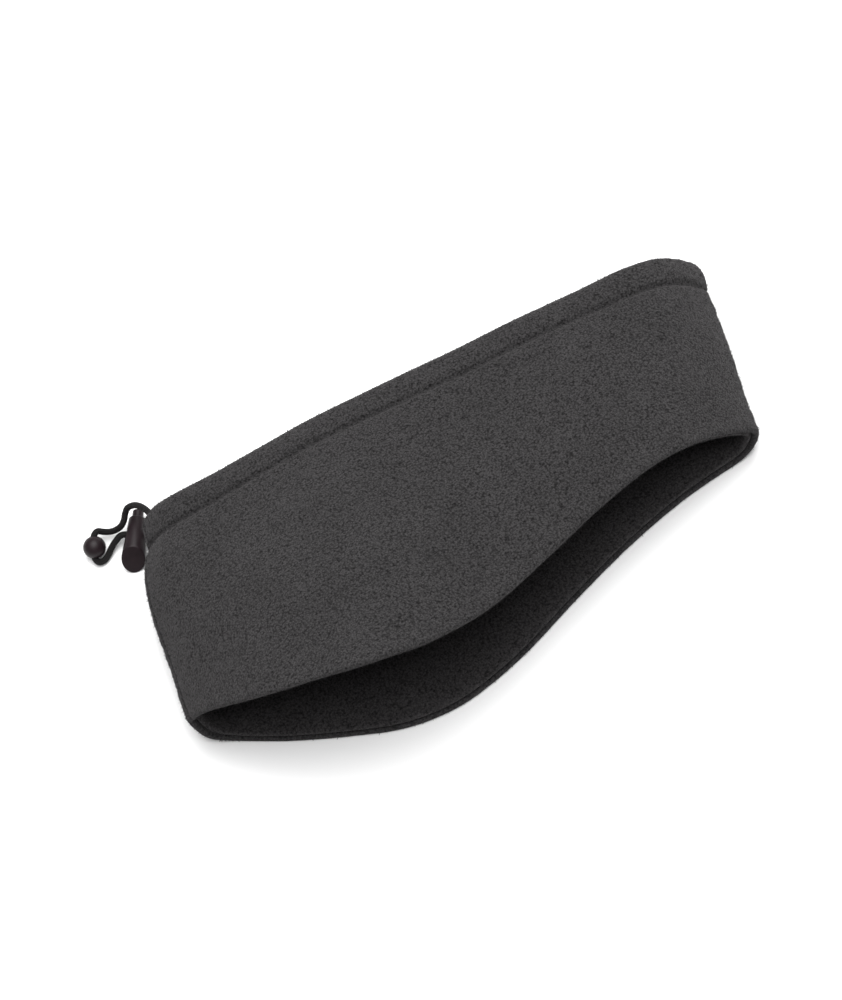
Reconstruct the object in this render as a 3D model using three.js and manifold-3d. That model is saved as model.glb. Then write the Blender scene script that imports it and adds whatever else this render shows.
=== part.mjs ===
// A fleece ear-warmer headband with a drawcord at the back of its crown edge, lying on its side.
// Millimetres. X runs from the centre back to the front, Y from the hem to the crown edge and
// Z up from the surface that the band lies on. One layer lies flat, the other arches over it.

import * as THREE from "three";
import { mergeVertices } from "three/addons/utils/BufferGeometryUtils.js";
import Module from "manifold-3d";

const wasm = await Module();
wasm.setup();

// Driving sizes of the band
const HEM_LENGTH = 229.2; // the lying band from back fold to front fold, along its hem
const CROWN_LENGTH = 227.8; // and along its crown edge
const BACK_LEAN = 13.1; // the crown edge starts this far in front of the hem at the back
const EAR_HEIGHT = 112; // crown edge to hem where the band covers the ear
const HEM_RISE = 61; // the upper layer's greatest height at the hem
const CROWN_RISE = 38; // and at the crown edge
const BELLY = 3; // how far the upper layer bulges between its edges
const SHELL = 2.4; // thickness of the outer fleece
const LINING = 2.4; // thickness of the inner fleece
const LAYER_GAP = 0.5; // between the two layers
const HEM_EDGE_SET = 1.0; // the lining's hem stands this far inside the shell's

// The casing at the crown edge and the cord that runs in it
const CASING = 13; // crown edge to stitch line
const CORD = 2.2; // diameter of the elastic cord
const CORD_ROOM = 0.7; // between the cord and the casing's walls, on each side
const CASING_PUFF = 1.1; // the casing stands out this far between crown edge and stitches
const FLATTENED_BELOW = 12; // under this height the puff goes, as the casing lies on its side
const STITCH_DEPTH = 1.1; // the stitches pull the surface in this far
const STITCH_HALF_WIDTH = 1.7;
const CASED_CORD_START = 0.05; // share of the way round where the cord outside takes over
const BACK_SEAM_DEPTH = 0.8; // groove of the sewn centre-back seam
const BACK_SEAM_HALF_WIDTH = 1.4;
const BACK_SEAM_AT = 0.024; // share of the way round where the seam lies, just above the back fold

// The cord lock and the bead
const LOCK_LENGTH = 20.8;
const LOCK_WIDE = 9.8; // diameter at the wide end
const LOCK_RIM = 0.8; // barrel's wall at the narrow end
const LOCK_WALL = 1.3; // and at the closed end
const LOCK_FACE_TILT = 0.62; // radians that the thumb face leans back from square
const LOCK_EDGE = 0.6; // bevel of the ends
const PLUNGER_WALL = 0.65; // beside the plunger's slot
const PLUNGER_CLEARANCE = 0.3;
const PLUNGER_OUT = 3.4; // stands out of the barrel's narrow end
const PLUNGER_TRAVEL = 1.8;
const SLOT_CLEARANCE = 0.35; // around the cord in the lock
const SLOT_FROM_NARROW_END = 7;
const LOCK_ROLL = 0.21; // radians that the lock is rolled towards the band
const REST_GAP = 0.1; // between the lock and the surface
const BEAD = 8.6; // diameter
const BEAD_CLEARANCE = 0.4; // around the cord in the bead

// Fineness of the faceted solids
const COLUMNS_PER_SIDE = 33;
const FOLD_CROWDING = 0.5; // 0 spaces the columns evenly, 1 crowds them all at the folds
const WALL_ROWS = 8;
const EDGE_POINTS = 1200;
const CORD_SIDES = 8;
const CASED_CORD_STEPS = 76;
const LOOP_STEPS = 32;
const ROUND_SIDES = 20;

// The lying band's two edge loops, seen along Y. Along is the share of the edge's length from the
// back fold to the front fold, crown and hem are shares of the two rises.
const UPPER_LAYER = [
  { along: 0.0, crown: 0.42, hem: 0.25 },
  { along: 0.012, crown: 0.63, hem: 0.38 },
  { along: 0.035, crown: 0.81, hem: 0.5 },
  { along: 0.07, crown: 0.9, hem: 0.63 },
  { along: 0.11, crown: 0.93, hem: 0.75 },
  { along: 0.17, crown: 0.94, hem: 0.86 },
  { along: 0.25, crown: 0.97, hem: 0.97 },
  { along: 0.33, crown: 1.0, hem: 1.0 },
  { along: 0.41, crown: 1.01, hem: 0.935 },
  { along: 0.5, crown: 1.01, hem: 0.82 },
  { along: 0.6, crown: 1.0, hem: 0.76 },
  { along: 0.72, crown: 0.99, hem: 0.735 },
  { along: 0.81, crown: 0.97, hem: 0.71 },
  { along: 0.88, crown: 0.93, hem: 0.62 },
  { along: 0.94, crown: 0.8, hem: 0.47 },
  { along: 0.982, crown: 0.53, hem: 0.33 },
  { along: 1.0, crown: 0.28, hem: 0.22 },
];
const LOWER_LAYER = [
  { along: 0.985, crown: 0.08, hem: 0.07 },
  { along: 0.95, crown: 0.0, hem: 0.0 },
  { along: 0.8, crown: 0.0, hem: 0.0 },
  { along: 0.5, crown: 0.0, hem: 0.0 },
  { along: 0.2, crown: 0.0, hem: 0.0 },
  { along: 0.06, crown: 0.0, hem: 0.0 },
  { along: 0.014, crown: 0.14, hem: 0.07 },
];

// The cut of the fleece. Along is the share of the way round from centre back to centre front,
// lift is the crown edge's height over its own line at the ear and drop is the hem's depth below
// that line, both as shares of the ear height.
const CUT = [
  { along: 0.0, lift: 0.036, drop: 0.7 },
  { along: 0.08, lift: 0.008, drop: 0.766 },
  { along: 0.16, lift: -0.006, drop: 0.855 },
  { along: 0.24, lift: -0.002, drop: 0.93 },
  { along: 0.31, lift: 0.004, drop: 0.985 },
  { along: 0.37, lift: 0.003, drop: 1.005 },
  { along: 0.43, lift: 0.0, drop: 0.997 },
  { along: 0.52, lift: 0.0, drop: 0.943 },
  { along: 0.62, lift: 0.002, drop: 0.853 },
  { along: 0.72, lift: 0.004, drop: 0.77 },
  { along: 0.82, lift: 0.007, drop: 0.706 },
  { along: 0.91, lift: 0.012, drop: 0.672 },
  { along: 1.0, lift: 0.02, drop: 0.655 },
];

// How the back fold spreads from the gathered crown edge to the hem. Along is the share of the
// band's height down from the crown edge, and spread the share of the back lean.
const BACK_SPREAD = [
  { along: 0.0, spread: 0.0 },
  { along: 0.12, spread: 0.1 },
  { along: 0.24, spread: 0.5 },
  { along: 0.36, spread: 0.7 },
  { along: 0.5, spread: 0.82 },
  { along: 0.64, spread: 0.86 },
  { along: 0.78, spread: 0.91 },
  { along: 0.9, spread: 0.98 },
  { along: 1.0, spread: 1.0 },
];

// The free cord's route, from the upper exit over the lock's narrow end, through the bead and
// back through the lock to the lower exit. Measured from the back end of the crown edge.
const CORD_ROUTE = [
  [6.9, -7.1, 25.4],
  [5.2, -6.6, 22.4],
  [4.4, -5.0, 19.9],
  [4.0, -2.4, 18.2],
  [3.8, 0.6, 17.2],
  [2.6, 4.6, 16.0],
  [0.4, 8.4, 14.4],
  [-2.0, 10.7, 12.4],
  [-4.3, 11.6, 10.4],
  [-6.0, 10.9, 8.6],
  [-7.3, 9.6, 7.4],
  [-9.3, 8.5, 6.2],
  [-11.8, 8.8, 4.7],
  [-14.4, 9.8, 3.7],
  [-16.6, 10.8, 4.0],
  [-18.6, 11.4, 5.3],
  [-20.4, 9.8, 6.0],
  [-22.0, 6.3, 4.3],
  [-23.6, 2.8, 2.6],
  [-22.9, 1.1, 1.9],
  [-20.8, 0.9, 1.6],
  [-18.6, 2.1, 1.9],
  [-16.3, 3.7, 2.8],
  [-13.6, 5.1, 3.7],
  [-10.7, 5.6, 4.75],
  [-5.89, 3.45, 3.8],
  [-1.4, 1.5, 2.9],
  [1.4, 2.0, 5.6],
  [3.8, 1.4, 8.8],
  [4.5, -0.4, 10.5],
  [4.4, -2.6, 11.0],
  [4.5, -5.0, 11.1],
  [4.6, -6.7, 9.7],
  [5.3, -7.2, 7.8],
];

// Where the lock's slot and the bead lie, from the same end, and the way they point
const LOCK_SLOT_PLACE = { x: -5.89, y: 3.45 };
const LOCK_DIRECTION = { x: 0.415, y: 0.91 }; // from the wide end to the narrow end
const BEAD_PLACE = { x: -22.0, y: 6.3 };
const BEAD_DIRECTION = { x: 0.38, y: 0.83, z: 0.4 };

const tunnelRoom = CORD + 2 * CORD_ROOM;
const casingThickness = 2 * SHELL + tunnelRoom;
const crownBackX = BACK_LEAN - HEM_LENGTH / 2;
const crownLineY = EAR_HEIGHT / 2;

// Value of a table's column at a share along it, on a smooth curve through the rows
function fromTable(table, column, along) {
  const last = table.length - 1;
  let row = 0;
  while (row < last - 1 && along > table[row + 1].along) row += 1;
  const from = table[row];
  const to = table[row + 1];
  const before = table[Math.max(row - 1, 0)];
  const after = table[Math.min(row + 2, last)];
  const span = to.along - from.along;
  const slopeIn = ((to[column] - before[column]) / (to.along - before.along)) * span;
  const slopeOut = ((after[column] - from[column]) / (after.along - from.along)) * span;
  const t = (along - from.along) / span;
  const bend = 2 * from[column] - 2 * to[column] + slopeIn + slopeOut;
  const rise = 3 * to[column] - 3 * from[column] - 2 * slopeIn - slopeOut;
  return ((bend * t + rise) * t + slopeIn) * t + from[column];
}

// One edge of the lying band, as points in the XZ plane at given shares of the way round
function edgeLoop(column, startX, length, rise, shares) {
  const rows = [...UPPER_LAYER, ...LOWER_LAYER];
  const corners = rows.map((row) => new THREE.Vector3(startX + row.along * length, 0, row[column] * rise));
  const curve = new THREE.CatmullRomCurve3(corners, true, "centripetal");
  const fine = curve.getPoints(EDGE_POINTS);
  fine.forEach((point) => {
    point.z = Math.max(point.z, 0);
  });
  const lengths = [0];
  for (let i = 1; i < fine.length; i += 1) lengths.push(lengths[i - 1] + fine[i].distanceTo(fine[i - 1]));
  const front = fine.reduce((best, point, i) => (point.x > fine[best].x ? i : best), 0);
  const at = (distance) => {
    let i = 1;
    while (i < lengths.length - 1 && lengths[i] < distance) i += 1;
    const t = (distance - lengths[i - 1]) / Math.max(lengths[i] - lengths[i - 1], 1e-9);
    return fine[i - 1].clone().lerp(fine[i], THREE.MathUtils.clamp(t, 0, 1));
  };
  const total = lengths[lengths.length - 1];
  return shares.map((share) => {
    if (share <= 1) return at(share * lengths[front]);
    return at(lengths[front] + (share - 1) * (total - lengths[front]));
  });
}

// Shares of the way round: 0 is the centre back, 1 the centre front on the upper layer, and 2 the
// centre back again over the lower layer. The folds have the closest columns.
function columnShares() {
  const groove = BACK_SEAM_HALF_WIDTH / HEM_LENGTH;
  const seam = [BACK_SEAM_AT - groove, BACK_SEAM_AT, BACK_SEAM_AT + groove];
  const side = [];
  for (let i = 1; i < COLUMNS_PER_SIDE; i += 1) {
    const even = i / COLUMNS_PER_SIDE;
    const crowded = (1 - Math.cos(Math.PI * even)) / 2;
    side.push(THREE.MathUtils.lerp(even, crowded, FOLD_CROWDING));
  }
  const upper = side.filter((share) => Math.abs(share - BACK_SEAM_AT) > 1.5 * groove);
  const lower = side.map((share) => 1 + share);
  return [0, groove, ...seam, ...upper, 1, ...lower, 2 - groove];
}

// The band's outer surface: for each column its crown point, hem point, outward direction and cut
function bandColumns() {
  const shares = columnShares();
  const crown = edgeLoop("crown", crownBackX, CROWN_LENGTH, CROWN_RISE, shares);
  const hem = edgeLoop("hem", -HEM_LENGTH / 2, HEM_LENGTH, HEM_RISE, shares);
  const outward = (loop, i) => {
    const before = loop[(i + loop.length - 1) % loop.length];
    const after = loop[(i + 1) % loop.length];
    return new THREE.Vector3(before.z - after.z, 0, after.x - before.x).normalize();
  };
  return shares.map((share, i) => {
    const along = share <= 1 ? share : 2 - share;
    const crownY = crownLineY + fromTable(CUT, "lift", along) * EAR_HEIGHT;
    const hemY = crownLineY - fromTable(CUT, "drop", along) * EAR_HEIGHT;
    return {
      along,
      crown: crown[i],
      hem: hem[i],
      crownY,
      height: crownY - hemY,
      crownOut: outward(crown, i),
      hemOut: outward(hem, i),
      upper: share < 1,
      seam: share === BACK_SEAM_AT,
    };
  });
}

const columns = bandColumns();

// A point of the band's wall: down is its distance from the crown edge, depth its distance inside
// the outer surface
function wallPoint(column, down, depth) {
  const share = THREE.MathUtils.clamp(down / column.height, 0, 1);
  const lean = THREE.MathUtils.lerp(fromTable(BACK_SPREAD, "spread", share), share, column.along);
  const rise = (column.hem.z - column.crown.z) / column.height;
  const place = new THREE.Vector3().lerpVectors(column.crown, column.hem, share);
  place.x = THREE.MathUtils.lerp(column.crown.x, column.hem.x, lean);
  const out = new THREE.Vector3().lerpVectors(column.crownOut, column.hemOut, share).normalize();
  const off = THREE.MathUtils.smoothstep(place.z, 0, FLATTENED_BELOW);
  const belly = column.upper ? BELLY * Math.sin(Math.PI * share) * Math.sin(Math.PI * column.along) : 0;
  const puff = down < CASING ? CASING_PUFF * Math.sin((Math.PI * down) / CASING) * off : 0;
  place.addScaledVector(out, belly + puff - depth);
  place.y = column.crownY - down * Math.sqrt(1 - rise * rise);
  return place;
}

// A closed surface through rings of points, the last ring joined to the first
function ringGeometry(rings) {
  const count = rings[0].length;
  const index = [];
  rings.forEach((ring, i) => {
    const next = (i + 1) % rings.length;
    for (let j = 0; j < count; j += 1) {
      const k = (j + 1) % count;
      index.push(i * count + j, next * count + j, next * count + k);
      index.push(i * count + j, next * count + k, i * count + k);
    }
  });
  const geometry = new THREE.BufferGeometry().setFromPoints(rings.flat());
  geometry.setIndex(index);
  return geometry;
}

function toSolid(geometry) {
  const bare = geometry.clone();
  bare.deleteAttribute("normal");
  bare.deleteAttribute("uv");
  const merged = mergeVertices(bare, 1e-4);
  const vertProperties = new Float32Array(merged.attributes.position.array);
  const triVerts = new Uint32Array(merged.index.array);
  return new wasm.Manifold(new wasm.Mesh({ numProp: 3, vertProperties, triVerts }));
}

function toGeometry(solid) {
  const mesh = solid.getMesh();
  const geometry = new THREE.BufferGeometry();
  geometry.setAttribute("position", new THREE.BufferAttribute(new Float32Array(mesh.vertProperties), 3));
  geometry.setIndex(new THREE.BufferAttribute(new Uint32Array(mesh.triVerts), 1));
  return geometry;
}

// Evenly spaced rows down a wall, between two distances from the crown edge
function rowsBetween(top, bottom) {
  const rows = [];
  for (let i = 0; i <= WALL_ROWS; i += 1) rows.push(top + ((bottom - top) * i) / WALL_ROWS);
  return rows;
}

// Section of the outer fleece as [down, depth] pairs: up the outside from the hem, over the crown
// edge, down the casing's inner wall to the stitches and down the inside to the hem
function shellSection(column) {
  const edge = SHELL / 3;
  const corner = SHELL / 12;
  const outerTop = CASING + STITCH_HALF_WIDTH;
  const groove = column.seam ? BACK_SEAM_DEPTH : 0;
  const outside = rowsBetween(outerTop, column.height - edge).map((down) => [down, groove]);
  const inside = rowsBetween(outerTop, column.height - edge).map((down) => [down, SHELL]);
  return [
    ...inside,
    [column.height, SHELL - edge],
    [column.height, Math.max(edge, groove)],
    ...outside.reverse(),
    [CASING, STITCH_DEPTH + groove / 2],
    [CASING - STITCH_HALF_WIDTH, groove],
    [CASING / 2, groove],
    [SHELL / 2, groove + corner],
    [0, groove + SHELL / 2],
    [0, casingThickness - SHELL / 2],
    [SHELL / 2, casingThickness - corner],
    [CASING / 2, casingThickness],
    [CASING - STITCH_HALF_WIDTH, casingThickness - SHELL / 2],
    [CASING, casingThickness - SHELL],
  ];
}

// Section of the tunnel inside the casing, an oval with its ends towards crown edge and stitches
function tunnelSection() {
  const top = SHELL + CORD_ROOM / 3;
  const bottom = CASING - SHELL - CORD_ROOM / 3;
  const bend = CORD / 2;
  return [
    [top, SHELL + tunnelRoom * 0.7],
    [top + bend, SHELL + tunnelRoom],
    [bottom - bend, SHELL + tunnelRoom],
    [bottom, SHELL + tunnelRoom * 0.7],
    [bottom, SHELL + tunnelRoom * 0.3],
    [bottom - bend, SHELL],
    [top + bend, SHELL],
    [top, SHELL + tunnelRoom * 0.3],
  ];
}

// Section of the lining, from just under the stitches to the hem
function liningSection(column) {
  const near = SHELL + LAYER_GAP;
  const far = near + LINING;
  const edge = LINING / 3;
  const top = CASING + STITCH_HALF_WIDTH + edge + LAYER_GAP;
  const hem = column.height - HEM_EDGE_SET;
  const outside = rowsBetween(top + edge, hem - edge).map((down) => [down, near]);
  const inside = rowsBetween(top + edge, hem - edge).map((down) => [down, far]);
  return [
    ...inside,
    [hem, far - edge],
    [hem, near + edge],
    ...outside.reverse(),
    [top, near + edge],
    [top, far - edge],
  ];
}

function sweep(section) {
  const ring = (column) => section(column).map(([down, depth]) => wallPoint(column, down, depth));
  return ringGeometry(columns.map(ring));
}

// A straight round rod between two points
function rod(from, to, diameter) {
  const length = from.distanceTo(to);
  const geometry = new THREE.CylinderGeometry(diameter / 2, diameter / 2, length, ROUND_SIDES);
  const turn = new THREE.Quaternion().setFromUnitVectors(
    new THREE.Vector3(0, 1, 0),
    to.clone().sub(from).normalize(),
  );
  geometry.applyQuaternion(turn);
  const middle = from.clone().lerp(to, 0.5);
  geometry.translate(middle.x, middle.y, middle.z);
  return geometry;
}

// A round cord along a curve
function cordGeometry(curve, steps) {
  const section = new THREE.Shape();
  for (let i = 0; i < CORD_SIDES; i += 1) {
    const angle = (2 * Math.PI * i) / CORD_SIDES;
    const x = (Math.cos(angle) * CORD) / 2;
    const y = (Math.sin(angle) * CORD) / 2;
    if (i === 0) section.moveTo(x, y);
    else section.lineTo(x, y);
  }
  section.closePath();
  return new THREE.ExtrudeGeometry(section, { steps, bevelEnabled: false, extrudePath: curve });
}

// The back end of the crown edge, where the cord comes out
const crownBack = new THREE.Vector3(crownBackX, crownLineY + fromTable(CUT, "lift", 0) * EAR_HEIGHT, 0);
const fromCrownBack = (x, y, z) => new THREE.Vector3(x, y, z).add(crownBack);

// The two cord exits, holes through the outer wall on either side of the back seam
const route = CORD_ROUTE.map(([x, y, z]) => fromCrownBack(x, y, z));
const routeBack = [...route].reverse();

function exitHole([, , , inner, outer]) {
  const along = outer.clone().sub(inner).normalize();
  const from = inner.clone().addScaledVector(along, -CORD);
  const to = outer.clone().addScaledVector(along, 2 * CORD);
  return toSolid(rod(from, to, tunnelRoom));
}

function outerShell() {
  const wall = toSolid(sweep(shellSection));
  const tunnel = toSolid(sweep(tunnelSection));
  return toGeometry(
    wall
      .subtract(tunnel)
      .subtract(exitHole(route))
      .subtract(exitHole(routeBack)),
  );
}

// The cord inside the casing, round from exit to exit
function casedCord() {
  const depth = SHELL + CORD_ROOM + CORD / 2;
  const round = columns.filter((column) => column.along > CASED_CORD_START);
  const points = round.map((column) => wallPoint(column, CASING / 2, depth));
  const curve = new THREE.CatmullRomCurve3(points, false, "centripetal");
  return cordGeometry(curve, CASED_CORD_STEPS);
}

function freeCord() {
  const curve = new THREE.CatmullRomCurve3(route, false, "centripetal");
  return cordGeometry(curve, LOOP_STEPS);
}

// Turns a piece made along Z, with its back to +Y, so that it points along a direction, back up
function pointed(direction) {
  const z = direction.clone().normalize();
  const x = new THREE.Vector3(0, 0, 1).cross(z).normalize();
  const y = z.clone().cross(x);
  return new THREE.Quaternion().setFromRotationMatrix(new THREE.Matrix4().makeBasis(x, y, z));
}

function turned(profile) {
  const geometry = new THREE.LatheGeometry(profile.map(([r, z]) => new THREE.Vector2(r, z)), ROUND_SIDES);
  geometry.rotateX(Math.PI / 2);
  return geometry;
}

// A slot across the lock, long along its axis (Z) and open along X
function slotGeometry(width, length, depth) {
  const shape = new THREE.Shape();
  const straight = (length - width) / 2;
  shape.absarc(straight, 0, width / 2, -Math.PI / 2, Math.PI / 2);
  shape.absarc(-straight, 0, width / 2, Math.PI / 2, (3 * Math.PI) / 2);
  shape.closePath();
  const curveSegments = ROUND_SIDES / 4;
  const geometry = new THREE.ExtrudeGeometry(shape, { depth, bevelEnabled: false, curveSegments });
  geometry.translate(0, 0, -depth / 2);
  geometry.rotateY(Math.PI / 2);
  return geometry;
}

// The lock is made along Z, with its slot at the origin and its narrow end up. Its bore follows
// the plunger, which follows the cord's slot, and the closed end's wall lies behind the bore.
const slotWidth = CORD + 2 * SLOT_CLEARANCE;
const plungerDiameter = slotWidth + 2 * PLUNGER_WALL;
const bore = plungerDiameter + 2 * PLUNGER_CLEARANCE;
const lockNarrow = bore + 2 * LOCK_RIM;
const lockTop = SLOT_FROM_NARROW_END;
const lockBottom = lockTop - LOCK_LENGTH;
const faceSlope = Math.tan(LOCK_FACE_TILT);
const boreBottom = lockBottom + (faceSlope * (LOCK_WIDE + bore)) / 2 + LOCK_WALL;
const lockTaper = (LOCK_WIDE - lockNarrow) / 2 / (LOCK_LENGTH - LOCK_EDGE);

function barrelGeometry() {
  const outside = turned([
    [0, lockBottom - LOCK_WALL],
    [LOCK_WIDE / 2, lockBottom - LOCK_WALL],
    [LOCK_WIDE / 2, lockBottom],
    [lockNarrow / 2, lockTop - LOCK_EDGE],
    [lockNarrow / 2 - LOCK_EDGE / 2, lockTop],
    [0, lockTop],
  ]);
  const hollow = turned([
    [0, boreBottom],
    [bore / 2, boreBottom],
    [bore / 2, lockTop + LOCK_EDGE],
    [0, lockTop + LOCK_EDGE],
  ]);
  const block = 4 * LOCK_WIDE;
  const face = new THREE.BoxGeometry(block, block, block);
  face.translate(0, 0, -block / 2);
  face.rotateX(LOCK_FACE_TILT);
  face.translate(0, 0, lockBottom + (faceSlope * LOCK_WIDE) / 2);
  return toGeometry(
    toSolid(outside)
      .subtract(toSolid(hollow))
      .subtract(toSolid(face))
      .subtract(toSolid(slotGeometry(slotWidth, slotWidth + PLUNGER_TRAVEL, 2 * LOCK_WIDE))),
  );
}

function plungerGeometry() {
  const top = lockTop + PLUNGER_OUT;
  const bottom = boreBottom + PLUNGER_CLEARANCE + PLUNGER_TRAVEL;
  const body = turned([
    [0, bottom],
    [plungerDiameter / 2, bottom],
    [plungerDiameter / 2, top - LOCK_EDGE],
    [plungerDiameter / 2 - LOCK_EDGE, top],
    [0, top],
  ]);
  const slot = slotGeometry(slotWidth, slotWidth + 2 * PLUNGER_TRAVEL, 2 * LOCK_WIDE);
  return toGeometry(toSolid(body).subtract(toSolid(slot)));
}

// The bead is made along Y
function beadGeometry() {
  const hole = CORD / 2 + BEAD_CLEARANCE;
  const ball = new THREE.SphereGeometry(BEAD / 2, ROUND_SIDES, ROUND_SIDES / 2);
  const bored = new THREE.CylinderGeometry(hole, hole, 2 * BEAD, ROUND_SIDES);
  return toGeometry(toSolid(ball).subtract(toSolid(bored)));
}

const fleece = new THREE.MeshStandardMaterial({ color: "#3f3d3e", roughness: 1, metalness: 0 });
const innerFleece = new THREE.MeshStandardMaterial({ color: "#393738", roughness: 1, metalness: 0 });
const elastic = new THREE.MeshStandardMaterial({ color: "#2b2929", roughness: 0.85, metalness: 0 });
const plastic = new THREE.MeshStandardMaterial({ color: "#2f292c", roughness: 0.5, metalness: 0 });

function piece(name, geometry, material) {
  const mesh = new THREE.Mesh(geometry, material);
  mesh.name = name;
  return mesh;
}

const shell = piece("outer_shell", outerShell(), fleece);
const band = new THREE.Group();
band.add(shell);
band.add(piece("inner_lining", sweep(liningSection), innerFleece));
band.add(piece("drawcord_in_casing", casedCord(), elastic));
band.add(piece("drawcord_loop", freeCord(), elastic));

// The lock lies on its tapered side, so its axis falls towards the narrow end
const lockAxis = new THREE.Vector3(LOCK_DIRECTION.x, LOCK_DIRECTION.y, 0).normalize();
lockAxis.z = -lockTaper;
const lockRoll = new THREE.Quaternion().setFromAxisAngle(new THREE.Vector3(0, 0, 1), LOCK_ROLL);
const slotRadius = lockNarrow / 2 + (SLOT_FROM_NARROW_END - LOCK_EDGE) * lockTaper;
const slotHeight = slotRadius * Math.cos(Math.atan(lockTaper)) + REST_GAP;
const lock = new THREE.Group();
lock.position.copy(fromCrownBack(LOCK_SLOT_PLACE.x, LOCK_SLOT_PLACE.y, slotHeight));
lock.quaternion.copy(pointed(lockAxis)).multiply(lockRoll);
lock.add(piece("cord_lock_barrel", barrelGeometry(), plastic));
lock.add(piece("cord_lock_plunger", plungerGeometry(), plastic));
band.add(lock);

const bead = piece("cord_bead", beadGeometry(), plastic);
const beadAxis = new THREE.Vector3(BEAD_DIRECTION.x, BEAD_DIRECTION.y, BEAD_DIRECTION.z).normalize();
bead.position.copy(fromCrownBack(BEAD_PLACE.x, BEAD_PLACE.y, BEAD / 2));
bead.quaternion.setFromUnitVectors(new THREE.Vector3(0, 1, 0), beadAxis);
band.add(bead);

// The origin is under the middle of the fleece
const box = new THREE.Box3().setFromObject(shell);
band.position.set(-(box.min.x + box.max.x) / 2, -(box.min.y + box.max.y) / 2, -box.min.z);

const headband = new THREE.Group();
headband.add(band);

export default headband;
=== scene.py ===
"""Fleece headband with a drawcord, lying on its side: its visible pieces and its studio stage."""

import math

import bmesh
import bpy
import numpy as np
from bpy.props import FloatProperty, FloatVectorProperty, IntProperty, PointerProperty
from mathutils import Matrix, Vector


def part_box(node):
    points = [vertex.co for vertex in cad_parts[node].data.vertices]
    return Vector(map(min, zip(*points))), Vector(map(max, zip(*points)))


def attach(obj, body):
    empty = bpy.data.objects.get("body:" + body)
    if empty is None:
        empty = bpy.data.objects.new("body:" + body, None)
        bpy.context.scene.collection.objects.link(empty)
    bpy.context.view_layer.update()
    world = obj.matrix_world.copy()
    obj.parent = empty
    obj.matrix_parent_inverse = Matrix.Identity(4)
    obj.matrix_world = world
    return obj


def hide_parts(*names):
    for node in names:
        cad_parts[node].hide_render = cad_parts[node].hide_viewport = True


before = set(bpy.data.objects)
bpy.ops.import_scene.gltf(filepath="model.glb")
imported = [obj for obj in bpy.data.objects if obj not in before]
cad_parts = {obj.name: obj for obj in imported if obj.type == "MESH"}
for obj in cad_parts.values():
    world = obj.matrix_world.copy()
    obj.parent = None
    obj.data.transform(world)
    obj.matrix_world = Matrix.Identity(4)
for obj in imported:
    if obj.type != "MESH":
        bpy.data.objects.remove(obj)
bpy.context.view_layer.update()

bl_info = {
    "name": "Fleece Headband",
    "version": (1, 0, 0),
    "blender": (4, 5, 0),
    "location": "3D View > Sidebar > Headband",
    "description": "Builds a double-layer fleece headband with its drawcord, cord lock and bead",
    "category": "Object",
}

BODY = "headband"
PLUNGER_BODY = "plunger"
MM = 0.001

# The lying band's two edge loops, seen along Y: share of the edge's length from the back fold to
# the front fold, then the crown edge's and the hem's height as shares of their two rises
UPPER_LAYER = (
    (0.0, 0.42, 0.25),
    (0.012, 0.63, 0.38),
    (0.035, 0.81, 0.5),
    (0.07, 0.9, 0.63),
    (0.11, 0.93, 0.75),
    (0.17, 0.94, 0.86),
    (0.25, 0.97, 0.97),
    (0.33, 1.0, 1.0),
    (0.41, 1.01, 0.935),
    (0.5, 1.01, 0.82),
    (0.6, 1.0, 0.76),
    (0.72, 0.99, 0.735),
    (0.81, 0.97, 0.71),
    (0.88, 0.93, 0.62),
    (0.94, 0.8, 0.47),
    (0.982, 0.53, 0.33),
    (1.0, 0.28, 0.22),
)
LOWER_LAYER = (
    (0.985, 0.08, 0.07),
    (0.95, 0.0, 0.0),
    (0.8, 0.0, 0.0),
    (0.5, 0.0, 0.0),
    (0.2, 0.0, 0.0),
    (0.06, 0.0, 0.0),
    (0.014, 0.14, 0.07),
)
CROWN_COLUMN = 1
HEM_COLUMN = 2

# The cut of the fleece: share of the way round from centre back to centre front, the crown edge's
# height over its own line at the ear and the hem's depth below it, as shares of the ear height
CUT = (
    (0.0, 0.036, 0.7),
    (0.08, 0.008, 0.766),
    (0.16, -0.006, 0.855),
    (0.24, -0.002, 0.93),
    (0.31, 0.004, 0.985),
    (0.37, 0.003, 1.005),
    (0.43, 0.0, 0.997),
    (0.52, 0.0, 0.943),
    (0.62, 0.002, 0.853),
    (0.72, 0.004, 0.77),
    (0.82, 0.007, 0.706),
    (0.91, 0.012, 0.672),
    (1.0, 0.02, 0.655),
)
LIFT_COLUMN = 1
DROP_COLUMN = 2

# How the back fold spreads from the gathered crown edge to the hem: share of the band's height and
# share of the back lean
BACK_SPREAD = (
    (0.0, 0.0),
    (0.12, 0.1),
    (0.24, 0.5),
    (0.36, 0.7),
    (0.5, 0.82),
    (0.64, 0.86),
    (0.78, 0.91),
    (0.9, 0.98),
    (1.0, 1.0),
)
SPREAD_COLUMN = 1

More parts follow.
